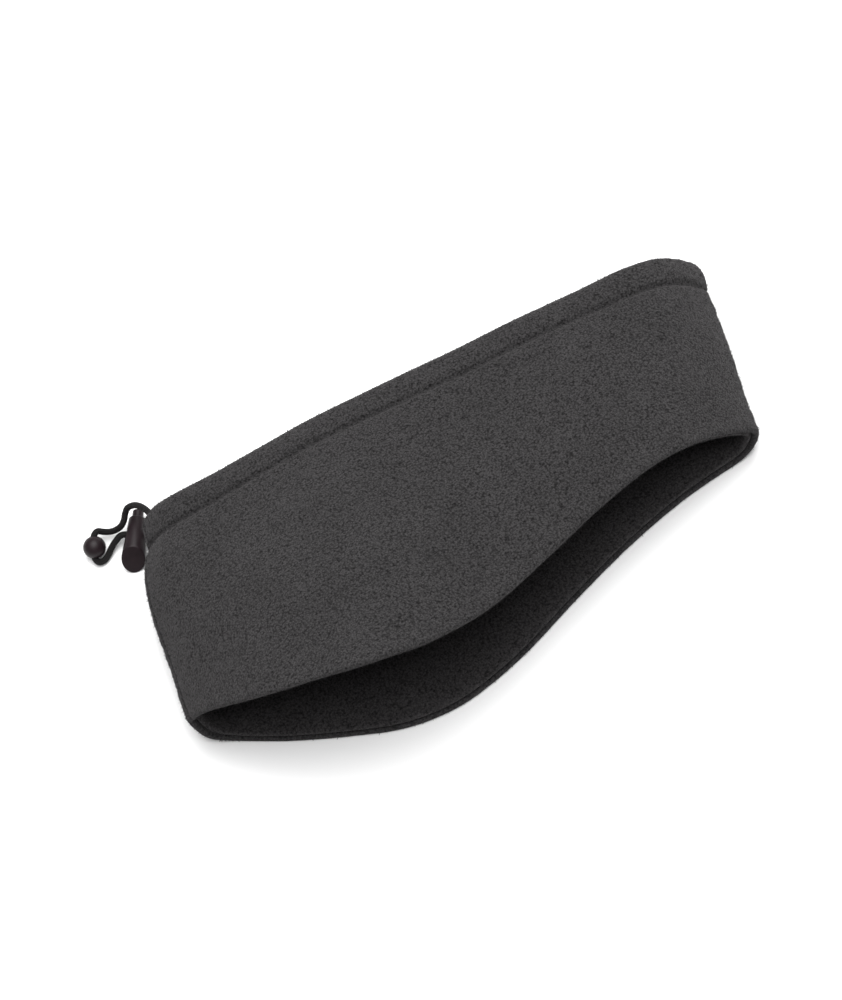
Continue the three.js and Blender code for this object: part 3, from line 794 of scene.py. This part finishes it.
def floor_material(colour):
    material, nodes, links = named_material("pale_floor")
    out = add_node(nodes, "ShaderNodeOutputMaterial", (300, 0))
    paint = add_node(nodes, "ShaderNodeBsdfPrincipled", (0, 0))
    set_inputs(paint, {"Base Color": (*colour, 1), "Roughness": 0.9, "Specular IOR Level": 0.1})
    links.new(paint.outputs["BSDF"], out.inputs["Surface"])
    return material


def rows_of(low, low_share, high, high_share, count, depth, nap):
    """Section rows between two distances, each a length plus a share of the height."""
    t = np.linspace(0, 1, count)
    return [(low + (high - low) * k, low_share + (high_share - low_share) * k, depth, nap) for k in t]


def section_grid(band, rows):
    """Distances down, depths and nap of a section's rows, for every column."""
    table = np.array(rows)
    down = table[None, :, 0] + table[None, :, 1] * band.height
    depth = np.broadcast_to(table[None, :, 2], down.shape).copy()
    return down, depth, table[None, :, 3]


def section_run(down, depth):
    """Length along the section, from its first row."""
    steps = [np.diff(way, axis=1, prepend=way[:, :1]) for way in (down, depth)]
    return np.cumsum(np.hypot(*steps), axis=1)


def casing_thickness(size, cord):
    """The casing's two walls with the cord and its room between them."""
    return 2 * size.shell + cord + 2 * size.cord_room


def shell_rows(size, thickness):
    """The outer fleece: down its inside, round the hem, up its outside, over the crown, down the flap."""
    round_hem = size.shell / 2
    top = size.casing + size.stitch_half_width
    rows = rows_of(top, 0, -round_hem, 1, 10, size.shell, 0)
    for k in range(1, ROUND_STEPS):
        a = math.pi * k / ROUND_STEPS
        rows.append((-round_hem + round_hem * math.sin(a), 1, round_hem + round_hem * math.cos(a), 1))
    groove_reach = 3.2 * MM
    rows += rows_of(-round_hem, 1, size.casing + groove_reach, 0, 62, 0, 1)
    rows += rows_of(size.casing + groove_reach, 0, size.casing - groove_reach, 0, 18, 0, 1)[1:]
    crown_round = 0.42 * thickness
    rows += rows_of(size.casing - groove_reach, 0, crown_round, 0, 8, 0, 1)[1:]
    for k in range(1, 9):
        a = math.pi / 2 * k / 9
        rows.append((crown_round * (1 - math.sin(a)), 0, crown_round * (1 - math.cos(a)), 1))
    rows.append((0, 0, crown_round, 1))
    rows.append((0, 0, thickness - crown_round, 1))
    for k in range(1, 9):
        a = math.pi / 2 * (1 - k / 9)
        depth = thickness - crown_round * (1 - math.cos(a))
        rows.append((crown_round * (1 - math.sin(a)), 0, depth, 1))
    rows += rows_of(crown_round, 0, size.casing - 2.6 * MM, 0, 7, thickness, 1)
    flap = np.array(
        [
            (size.casing - 2.6 * MM, thickness),
            (size.casing - 1.2 * MM, thickness - 0.9 * MM),
            (size.casing - 0.1 * MM, thickness - 1.6 * MM),
            (size.casing + 1.0 * MM, thickness - 2.4 * MM),
            (size.casing + 1.7 * MM, thickness - 4.0 * MM),
            (top, size.shell),
        ]
    )
    rows += [(down, 0, depth, 1) for down, depth in smooth_curve(flap, 14, closed=False)[1:-1]]
    return rows


def lining_rows(size):
    """The inner fleece: down its inside face, round the hem, up its hidden face, round its top."""
    near = size.shell + size.layer_gap
    middle = near + size.lining / 2
    half = size.lining / 2
    top = size.casing + size.stitch_half_width + size.lining / 3 + size.layer_gap
    rows = rows_of(top + half, 0, -size.hem_edge_set - half, 1, 60, near + size.lining, 1)
    for k in range(1, ROUND_STEPS):
        a = math.pi * k / ROUND_STEPS
        rows.append((-size.hem_edge_set - half + half * math.sin(a), 1, middle + half * math.cos(a), 1))
    rows += rows_of(-size.hem_edge_set - half, 1, top + half, 0, 10, near, 0)
    for k in range(1, 8):
        a = math.pi * k / 8
        rows.append((top + half - half * math.sin(a), 0, middle - half * math.cos(a), 0))
    return rows


def tunnel_rows(size, cord):
    room = cord + 2 * size.cord_room
    top = size.shell + size.cord_room / 3
    bottom = size.casing - size.shell - size.cord_room / 3
    bend = cord / 2
    corners = (
        (top, 0.7),
        (top + bend, 1.0),
        (bottom - bend, 1.0),
        (bottom, 0.7),
        (bottom, 0.3),
        (bottom - bend, 0.0),
        (top + bend, 0.0),
        (top, 0.3),
    )
    return [(down, 0, size.shell + room * share, 0) for down, share in corners]


def rod_object(name, start, end, radius, sides=24):
    line = [start.lerp(end, t) for t in (0, 0.5, 1)]
    return new_object(name, tube_mesh(name, line, radius, sides))


def finish_piece(piece, body, slot, *nodes):
    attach(piece, body)
    if nodes:
        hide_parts(*nodes)


class HEADBAND_OT_stage(bpy.types.Operator):
    """Camera at the photograph's angle, pale floor and soft studio light"""

    bl_idname = "headband.stage"
    bl_label = "Stage"

    def execute(self, context):
        size = context.scene.headband_stage
        camera = bpy.data.cameras.new("camera")
        camera.lens = 90
        camera.sensor_fit = "VERTICAL"
        camera.sensor_height = 36
        camera.clip_start = 0.01
        eye = bpy.data.objects.new("camera", camera)
        context.scene.collection.objects.link(eye)
        back = Vector((0, -math.cos(CAMERA_ELEVATION), math.sin(CAMERA_ELEVATION)))
        level_right = Vector((1, 0, 0))
        level_up = Vector((0, math.sin(CAMERA_ELEVATION), math.cos(CAMERA_ELEVATION)))
        right = level_right * math.cos(PICTURE_TILT) - level_up * math.sin(PICTURE_TILT)
        up = level_right * math.sin(PICTURE_TILT) + level_up * math.cos(PICTURE_TILT)
        turn = Matrix((right, up, back)).transposed().to_4x4()
        eye.matrix_world = Matrix.Translation(LOOK_AT + back * CAMERA_DISTANCE) @ turn
        context.scene.camera = eye

        mesh = bpy.data.meshes.new("floor")
        half = size.floor_size / 2
        corners = [(-half, -half, 0), (half, -half, 0), (half, half, 0), (-half, half, 0)]
        mesh.from_pydata(corners, [], [(0, 1, 2, 3)])
        floor = new_object("floor", mesh)
        mesh.materials.append(floor_material(size.floor_colour))

        context.scene.view_settings.view_transform = "Standard"
        world = context.scene.world or bpy.data.worlds.new("surround")
        context.scene.world = world
        world.use_nodes = True
        world.node_tree.nodes.clear()
        sky = world.node_tree.nodes.new("ShaderNodeBackground")
        set_inputs(sky, {"Color": (1, 1, 1, 1), "Strength": size.surround_strength})
        out = world.node_tree.nodes.new("ShaderNodeOutputWorld")
        world.node_tree.links.new(sky.outputs[0], out.inputs["Surface"])

        lamps = (
            ("key_light", size.key_power, 0.9, Vector((0.3, 0.45, 1.0))),
            ("top_light", size.top_power, 1.2, Vector((0.1, 0.0, 1.3))),
        )
        for name, power, width, place in lamps:
            lamp = bpy.data.lights.new(name, "AREA")
            lamp.shape = "SQUARE"
            lamp.size = width
            lamp.energy = power
            holder = bpy.data.objects.new(name, lamp)
            context.scene.collection.objects.link(holder)
            holder.location = place
            holder.rotation_euler = (LOOK_AT - place).to_track_quat("-Z", "Y").to_euler()
        return {"FINISHED"}


class HEADBAND_OT_drawcord(bpy.types.Operator):
    """Elastic cord outside the casing, and its finish inside"""

    bl_idname = "headband.drawcord"
    bl_label = "Drawcord"

    def execute(self, context):
        trim = context.scene.headband_trim
        start = np.array(crown_back_place())
        corners = np.array(CORD_ROUTE) * MM + start
        line, length = evenly(smooth_curve(corners, 1500, closed=False), 420)

        def strands(turn, run):
            a = math.sin(2 * math.pi * (BRAID_STRANDS * turn + run / BRAID_PITCH))
            b = math.sin(2 * math.pi * (-BRAID_STRANDS * turn + run / BRAID_PITCH))
            return BRAID_RELIEF * a * b

        cord = new_object("drawcord", tube_mesh("drawcord", line, trim.cord / 2 + trim.braid, 24, strands))
        material = cord_material("braided_elastic", trim.cord_colour)
        cord.data.materials.append(material)
        finish_piece(cord, BODY, "elastic_cord", "drawcord_loop")
        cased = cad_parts["drawcord_in_casing"]
        plain = thread_material("cased_elastic", trim.cord_colour)
        cased.data.materials.clear()
        cased.data.materials.append(plain)
        return {"FINISHED"}


class HEADBAND_OT_cord_lock(bpy.types.Operator):
    """Tapered barrel of the cord lock with its slanted thumb face, and its plunger"""

    bl_idname = "headband.cord_lock"
    bl_label = "Cord lock"

    def execute(self, context):
        trim = context.scene.headband_trim
        slot_width = trim.cord + 2 * trim.slot_clearance
        plunger = slot_width + 2 * trim.plunger_wall
        bore = plunger + 2 * trim.plunger_clearance
        narrow = bore + 2 * trim.lock_rim
        top = trim.slot_from_end
        bottom = top - trim.lock_length
        slope = math.tan(trim.face_tilt)
        bore_bottom = bottom + slope * (trim.lock_wide + bore) / 2 + trim.lock_wall
        taper = (trim.lock_wide - narrow) / 2 / (trim.lock_length - trim.lock_edge)
        plan = Vector((*LOCK_DIRECTION, 0)).normalized()
        slot_radius = narrow / 2 + (top - trim.lock_edge) * taper
        height = slot_radius * math.cos(math.atan(taper)) + trim.rest_gap
        crown_back = crown_back_place()
        place = crown_back + Vector((LOCK_SLOT_PLACE[0] * MM, LOCK_SLOT_PLACE[1] * MM, height))
        roll = Matrix.Rotation(trim.lock_roll, 4, "Z")
        turn = Matrix.Translation(place) @ pointed((plan.x, plan.y, -taper)) @ roll
        material = plastic_material("lock_plastic_finish", trim.plastic_colour)

        profile = rounded(
            [(0, bottom - 1 * MM), (trim.lock_wide / 2, bottom - 1 * MM), (narrow / 2, top), (0, top)],
            [0, 0, trim.lock_edge, 0],
        )
        outside = turned_mesh("cord_lock_barrel_finish", profile)
        bm = bmesh.new()
        bm.from_mesh(outside)
        facing = Vector((0, math.sin(trim.face_tilt), -math.cos(trim.face_tilt)))
        on_face = Vector((0, 0, bottom + slope * trim.lock_wide / 2))
        everything = bm.verts[:] + bm.edges[:] + bm.faces[:]
        cut_face = bmesh.ops.bisect_plane(
            bm, geom=everything, plane_co=on_face, plane_no=facing, clear_outer=True, dist=1e-7
        )
        rim = [e for e in cut_face["geom_cut"] if isinstance(e, bmesh.types.BMEdge)]
        filled = bmesh.ops.contextual_create(bm, geom=rim)
        rim = list({e for face in filled["faces"] for e in face.edges})
        bmesh.ops.bevel(bm, geom=rim, offset=0.45 * MM, segments=5, profile=0.5, affect="EDGES")
        bmesh.ops.recalc_face_normals(bm, faces=bm.faces)
        bm.to_mesh(outside)
        bm.free()
        barrel = new_object("cord_lock_barrel_finish", outside)
        hollow = turned_mesh(
            "bore", [(0, bore_bottom), (bore / 2, bore_bottom), (bore / 2, top + 1 * MM), (0, top + 1 * MM)]
        )
        slot = slot_cutter("slot", slot_width, slot_width + trim.plunger_travel, 2 * trim.lock_wide)
        cut(barrel, new_object("bore", hollow), new_object("slot", slot))
        soften_edges(barrel, 0.15 * MM)
        barrel.data.transform(turn)
        barrel.data.materials.append(material)
        finish_piece(barrel, BODY, "lock_plastic", "cord_lock_barrel")

        end = top + trim.plunger_out
        foot = bore_bottom + trim.plunger_clearance + trim.plunger_travel
        profile = rounded(
            [(0, foot), (plunger / 2, foot), (plunger / 2, end), (0, end)],
            [0, 0.2 * MM, trim.lock_edge, 0],
        )
        body = turned_mesh("cord_lock_plunger_finish", profile)
        rod = new_object("cord_lock_plunger_finish", body)
        slot = slot_cutter("slot", slot_width, slot_width + 2 * trim.plunger_travel, 2 * trim.lock_wide)
        cut(rod, new_object("slot", slot))
        soften_edges(rod, 0.1 * MM)
        rod.data.transform(turn)
        rod.data.materials.append(material)
        finish_piece(rod, PLUNGER_BODY, "lock_plastic", "cord_lock_plunger")
        return {"FINISHED"}


class HEADBAND_OT_bead(bpy.types.Operator):
    """Round bead that the cord passes through"""

    bl_idname = "headband.bead"
    bl_label = "Bead"

    def execute(self, context):
        trim = context.scene.headband_trim
        radius = trim.bead / 2
        profile = [(radius * math.sin(a), -radius * math.cos(a)) for a in np.linspace(0, math.pi, 41)]
        profile[0], profile[-1] = (0, -radius), (0, radius)
        bead = new_object("bead_finish", turned_mesh("bead_finish", profile))
        hole = trim.cord / 2 + trim.bead_clearance
        bored = turned_mesh("hole", [(0, -trim.bead), (hole, -trim.bead), (hole, trim.bead), (0, trim.bead)])
        cut(bead, new_object("hole", bored))
        soften_edges(bead, 0.35 * MM)
        along = Vector(BEAD_DIRECTION).normalized().to_track_quat("Z", "Y").to_matrix().to_4x4()
        crown_back = crown_back_place()
        place = crown_back + Vector((BEAD_PLACE[0] * MM, BEAD_PLACE[1] * MM, radius))
        bead.data.transform(Matrix.Translation(place) @ along)
        bead.data.materials.append(plastic_material("bead_plastic_finish", trim.plastic_colour))
        finish_piece(bead, BODY, "lock_plastic", "cord_bead")
        return {"FINISHED"}


class HEADBAND_OT_shell(bpy.types.Operator):
    """Outer fleece with its casing, stitched groove, centre-back seam and two cord exits"""

    bl_idname = "headband.shell"
    bl_label = "Outer shell"

    def execute(self, context):
        size = context.scene.headband_fleece
        cord = context.scene.headband_trim.cord
        band = Band(size, FINE_COLUMNS)
        crown_back = crown_back_place()
        down, depth, nap = section_grid(band, shell_rows(size, casing_thickness(size, cord)))
        outside = depth < size.shell / 2
        width = size.stitch_half_width * 0.62
        pull = np.exp(-(((down - size.casing) / width) ** 2))
        step = np.abs(np.sin(math.pi * band.round / size.stitch_pitch))
        pucker = 0.82 + 0.18 * step
        depth = depth + np.where(outside, size.stitch_depth * pull * pucker, 0)
        seam = band.seam_groove()
        facing_in = depth > size.shell * 0.9
        depth = depth + np.where(facing_in, 0, seam * (1 - 0.4 * pull))
        fine = FINE_UNEVENNESS * waves(band.round, down, FINE_WAVELENGTH, seed=11, count=24)
        depth = depth + np.where(outside, fine * smoothstep(band.seam_distance, 0, 0.004), 0)
        points = row_frame(band.wall(down, depth), band, crown_back)
        points[:, :, 2] = np.maximum(points[:, :, 2], 0)
        nap = np.where(points[:, :, 2] < size.nap_length * 1.3, 0, nap)
        run = section_run(down, depth)
        mesh = ring_mesh("fleece_shell", points, band.round, run, nap)
        shell = new_object("fleece_shell", mesh)

        coarse = Band(size, COARSE_COLUMNS)
        tunnel_down, tunnel_depth, _ = section_grid(coarse, tunnel_rows(size, cord))
        tunnel_points = row_frame(coarse.wall(tunnel_down, tunnel_depth), coarse, crown_back)
        cutters = [new_object("tunnel", ring_mesh("tunnel", tunnel_points))]
        route = [Vector(p) * MM + crown_back for p in CORD_ROUTE]
        for way in (route, route[::-1]):
            inner, outer = way[EXIT_INNER], way[EXIT_OUTER]
            along = (outer - inner).normalized()
            radius = cord / 2 + size.cord_room
            cutters.append(rod_object("exit", inner - along * cord, outer + along * 2 * cord, radius))
        cut(shell, *cutters)
        shell.data.materials.append(fleece_material("outer_fleece_finish", size.outer_colour))
        finish_piece(shell, BODY, "outer_fleece", "outer_shell")
        return {"FINISHED"}


class HEADBAND_OT_lining(bpy.types.Operator):
    """Inner fleece, from the casing's stitches to the hem"""

    bl_idname = "headband.lining"
    bl_label = "Lining"

    def execute(self, context):
        size = context.scene.headband_fleece
        band = Band(size, FINE_COLUMNS)
        down, depth, nap = section_grid(band, lining_rows(size))
        inside = depth > size.shell + size.layer_gap + size.lining * 0.9
        fine = FINE_UNEVENNESS * waves(band.round, down, FINE_WAVELENGTH, seed=12, count=24)
        depth = depth + np.where(inside, (fine - band.seam_groove()) * smoothstep(down, 0.02, 0.024), 0)
        points = row_frame(band.wall(down, depth), band, crown_back_place())
        run = section_run(down, depth)
        lining = new_object("fleece_lining", ring_mesh("fleece_lining", points, band.round, run, nap))
        lining.data.materials.append(fleece_material("inner_fleece_finish", size.inner_colour))
        finish_piece(lining, BODY, "inner_fleece", "inner_lining")
        return {"FINISHED"}


def stitch_tree():
    """Stitches along a line: a short rounded thread at every pitch."""
    tree = bpy.data.node_groups.new("Stitches", "GeometryNodeTree")
    face = tree.interface
    face.new_socket("Geometry", in_out="INPUT", socket_type="NodeSocketGeometry")
    for name in ("Pitch", "Length", "Thread"):
        face.new_socket(name, in_out="INPUT", socket_type="NodeSocketFloat")
    face.new_socket("Material", in_out="INPUT", socket_type="NodeSocketMaterial")
    face.new_socket("Geometry", in_out="OUTPUT", socket_type="NodeSocketGeometry")
    nodes, links = tree.nodes, tree.links
    start = add_node(nodes, "NodeGroupInput", (-900, 0))
    line = add_node(nodes, "GeometryNodeMeshToCurve", (-700, 100))
    links.new(start.outputs["Geometry"], line.inputs["Mesh"])
    places = add_node(nodes, "GeometryNodeCurveToPoints", (-500, 100), mode="LENGTH")
    links.new(line.outputs["Curve"], places.inputs["Curve"])
    links.new(start.outputs["Pitch"], places.inputs["Length"])
    bead = add_node(nodes, "GeometryNodeMeshUVSphere", (-700, -200))
    set_inputs(bead, {"Segments": 8, "Rings": 6, "Radius": 0.5})
    shape = add_node(nodes, "ShaderNodeCombineXYZ", (-700, -400))
    links.new(start.outputs["Thread"], shape.inputs["X"])
    links.new(start.outputs["Thread"], shape.inputs["Y"])
    links.new(start.outputs["Length"], shape.inputs["Z"])
    each = add_node(nodes, "GeometryNodeInstanceOnPoints", (-250, 0))
    links.new(places.outputs["Points"], each.inputs["Points"])
    links.new(bead.outputs["Mesh"], each.inputs["Instance"])
    links.new(places.outputs["Rotation"], each.inputs["Rotation"])
    links.new(shape.outputs["Vector"], each.inputs["Scale"])
    real = add_node(nodes, "GeometryNodeRealizeInstances", (0, 0))
    links.new(each.outputs["Instances"], real.inputs["Geometry"])
    paint = add_node(nodes, "GeometryNodeSetMaterial", (200, 0))
    links.new(real.outputs["Geometry"], paint.inputs["Geometry"])
    links.new(start.outputs["Material"], paint.inputs["Material"])
    out = add_node(nodes, "NodeGroupOutput", (400, 0))
    links.new(paint.outputs["Geometry"], out.inputs["Geometry"])
    return tree


def nap_tree():
    """Tufts over the napped faces: small three-sided spikes that lean at random."""
    tree = bpy.data.node_groups.new("Nap", "GeometryNodeTree")
    face = tree.interface
    face.new_socket("Geometry", in_out="INPUT", socket_type="NodeSocketGeometry")
    for name in ("Density", "Length", "Width"):
        face.new_socket(name, in_out="INPUT", socket_type="NodeSocketFloat")
    face.new_socket("Seed", in_out="INPUT", socket_type="NodeSocketInt")
    face.new_socket("Material", in_out="INPUT", socket_type="NodeSocketMaterial")
    face.new_socket("Geometry", in_out="OUTPUT", socket_type="NodeSocketGeometry")
    nodes, links = tree.nodes, tree.links
    start = add_node(nodes, "NodeGroupInput", (-1100, 0))
    where = add_node(nodes, "GeometryNodeInputNamedAttribute", (-1100, 300), data_type="FLOAT")
    set_inputs(where, {"Name": "nap"})
    thick = add_node(nodes, "ShaderNodeMath", (-900, 250), operation="MULTIPLY")
    links.new(where.outputs["Attribute"], thick.inputs[0])
    links.new(start.outputs["Density"], thick.inputs[1])
    spread = add_node(nodes, "GeometryNodeDistributePointsOnFaces", (-700, 100), distribute_method="RANDOM")
    links.new(start.outputs["Geometry"], spread.inputs["Mesh"])
    links.new(thick.outputs[0], spread.inputs["Density"])
    links.new(start.outputs["Seed"], spread.inputs["Seed"])
    tuft = add_node(nodes, "GeometryNodeMeshCone", (-700, -250))
    set_inputs(tuft, {"Vertices": 3, "Radius Bottom": 1.0, "Depth": 1.0})
    shape = add_node(nodes, "ShaderNodeCombineXYZ", (-700, -500))
    links.new(start.outputs["Width"], shape.inputs["X"])
    links.new(start.outputs["Width"], shape.inputs["Y"])
    links.new(start.outputs["Length"], shape.inputs["Z"])
    each = add_node(nodes, "GeometryNodeInstanceOnPoints", (-400, 0))
    links.new(spread.outputs["Points"], each.inputs["Points"])
    links.new(tuft.outputs["Mesh"], each.inputs["Instance"])
    links.new(spread.outputs["Rotation"], each.inputs["Rotation"])
    links.new(shape.outputs["Vector"], each.inputs["Scale"])
    lean = add_node(nodes, "FunctionNodeRandomValue", (-400, -300), data_type="FLOAT_VECTOR")
    set_inputs(lean, {"Min": (-1.15, -1.15, -3.14), "Max": (1.15, 1.15, 3.14)})
    links.new(start.outputs["Seed"], lean.inputs["Seed"])
    turned = add_node(nodes, "GeometryNodeRotateInstances", (-180, 0))
    links.new(each.outputs["Instances"], turned.inputs["Instances"])
    links.new(lean.outputs["Value"], turned.inputs["Rotation"])
    reach = add_node(nodes, "FunctionNodeRandomValue", (-180, -300), data_type="FLOAT")
    reach.inputs[2].default_value = 0.55
    reach.inputs[3].default_value = 1.25
    links.new(start.outputs["Seed"], reach.inputs["Seed"])
    sized = add_node(nodes, "GeometryNodeScaleInstances", (20, 0))
    links.new(turned.outputs["Instances"], sized.inputs["Instances"])
    links.new(reach.outputs[1], sized.inputs["Scale"])
    real = add_node(nodes, "GeometryNodeRealizeInstances", (220, 0))
    links.new(sized.outputs["Instances"], real.inputs["Geometry"])
    paint = add_node(nodes, "GeometryNodeSetMaterial", (420, 0))
    links.new(real.outputs["Geometry"], paint.inputs["Geometry"])
    links.new(start.outputs["Material"], paint.inputs["Material"])
    out = add_node(nodes, "NodeGroupOutput", (620, 0))
    links.new(paint.outputs["Geometry"], out.inputs["Geometry"])
    return tree


def worked_out(source, tree, inputs, name):
    """A plain mesh object from a node tree on the source; the source keeps no modifier."""
    modifier = source.modifiers.new("nodes", "NODES")
    modifier.node_group = tree
    for item in tree.interface.items_tree:
        if item.item_type == "SOCKET" and item.in_out == "INPUT" and item.name in inputs:
            modifier[item.identifier] = inputs[item.name]
    bpy.context.view_layer.update()
    mesh = evaluated_mesh(source)
    mesh.name = name
    return new_object(name, mesh)


class HEADBAND_OT_stitches(bpy.types.Operator):
    """Row of stitches that closes the casing, on its outside and its inside"""

    bl_idname = "headband.stitches"
    bl_label = "Stitches"

    def execute(self, context):
        size = context.scene.headband_fleece
        cord = context.scene.headband_trim.cord
        band = Band(size, FINE_COLUMNS)
        material = thread_material("thread_finish", size.thread_colour)
        tree = stitch_tree()
        rows = (
            ("casing_stitches_outside", size.stitch_depth * 0.85),
            ("casing_stitches_inside", casing_thickness(size, cord) - 1.65 * MM),
        )
        for name, depth in rows:
            down = np.full_like(band.height, size.casing)
            line = band.wall(down, np.full_like(band.height, depth))[:, 0, :]
            line = row_frame(line, band, crown_back_place())
            mesh = bpy.data.meshes.new("line")
            count = len(line)
            mesh.from_pydata(line.tolist(), [(i, (i + 1) % count) for i in range(count)], [])
            source = new_object("line", mesh)
            inputs = {
                "Pitch": size.stitch_pitch,
                "Length": size.stitch_length,
                "Thread": size.thread,
                "Material": material,
            }
            stitches = worked_out(source, tree, inputs, name)
            bpy.data.objects.remove(source)
            stitches.data.shade_smooth()
            finish_piece(stitches, BODY, "outer_fleece")
        return {"FINISHED"}


class HEADBAND_OT_nap(bpy.types.Operator):
    """Nap of the two fleece layers, in tufts over their surfaces"""

    bl_idname = "headband.nap"
    bl_label = "Nap"

    def execute(self, context):
        size = context.scene.headband_fleece
        tree = nap_tree()
        layers = (("fleece_shell", "outer_fleece"), ("fleece_lining", "inner_fleece"))
        for number, (layer, slot) in enumerate(layers):
            source = bpy.data.objects[layer]
            area = sum(p.area for p in source.data.polygons)
            inputs = {
                "Density": size.nap_count / area * SPARE_TUFTS,
                "Length": size.nap_length,
                "Width": size.nap_width / 2,
                "Seed": 21 + number,
                "Material": source.data.materials[0],
            }
            nap = worked_out(source, tree, inputs, layer + "_nap")
            finish_piece(nap, BODY, slot)
        return {"FINISHED"}


class HEADBAND_OT_declare(bpy.types.Operator):
    """Works out the band's outline from the sizes, and keeps nothing."""

    bl_idname = "headband.declare"
    bl_label = "Cloth sizes"

    def execute(self, context):
        size = context.scene.headband_fleece
        band = Band(size, FINE_COLUMNS)
        return {"FINISHED"}


class HEADBAND_PT_pieces(bpy.types.Panel):
    """Sidebar panel with the sizes and one button for each group of pieces"""

    bl_idname = "HEADBAND_PT_pieces"
    bl_label = "Fleece Headband"
    bl_space_type = "VIEW_3D"
    bl_region_type = "UI"
    bl_category = "Headband"

    def draw(self, context):
        for scene_name, _ in GROUPS:
            group = getattr(context.scene, scene_name)
            box = self.layout.box()
            for name in group.bl_rna.properties.keys():
                if name not in ("rna_type", "name"):
                    box.prop(group, name)
        for operator in OPERATORS:
            self.layout.operator(operator.bl_idname)


GROUPS = (
    ("headband_fleece", HeadbandFleece),
    ("headband_trim", HeadbandTrim),
    ("headband_stage", HeadbandStage),
)
OPERATORS = (
    HEADBAND_OT_stage,
    HEADBAND_OT_drawcord,
    HEADBAND_OT_cord_lock,
    HEADBAND_OT_bead,
    HEADBAND_OT_shell,
    HEADBAND_OT_lining,
    HEADBAND_OT_stitches,
    HEADBAND_OT_nap,
    HEADBAND_OT_declare,
)


def register():
    for name, group in GROUPS:
        bpy.utils.register_class(group)
        setattr(bpy.types.Scene, name, PointerProperty(type=group))
    for operator in OPERATORS:
        bpy.utils.register_class(operator)
    bpy.utils.register_class(HEADBAND_PT_pieces)


def unregister():
    bpy.utils.unregister_class(HEADBAND_PT_pieces)
    for operator in reversed(OPERATORS):
        bpy.utils.unregister_class(operator)
    for name, group in reversed(GROUPS):
        delattr(bpy.types.Scene, name)
        bpy.utils.unregister_class(group)


def main():
    register()
    for operator in OPERATORS:
        getattr(bpy.ops.headband, operator.bl_idname.split(".")[1])()


if __name__ == "__main__":
    main()
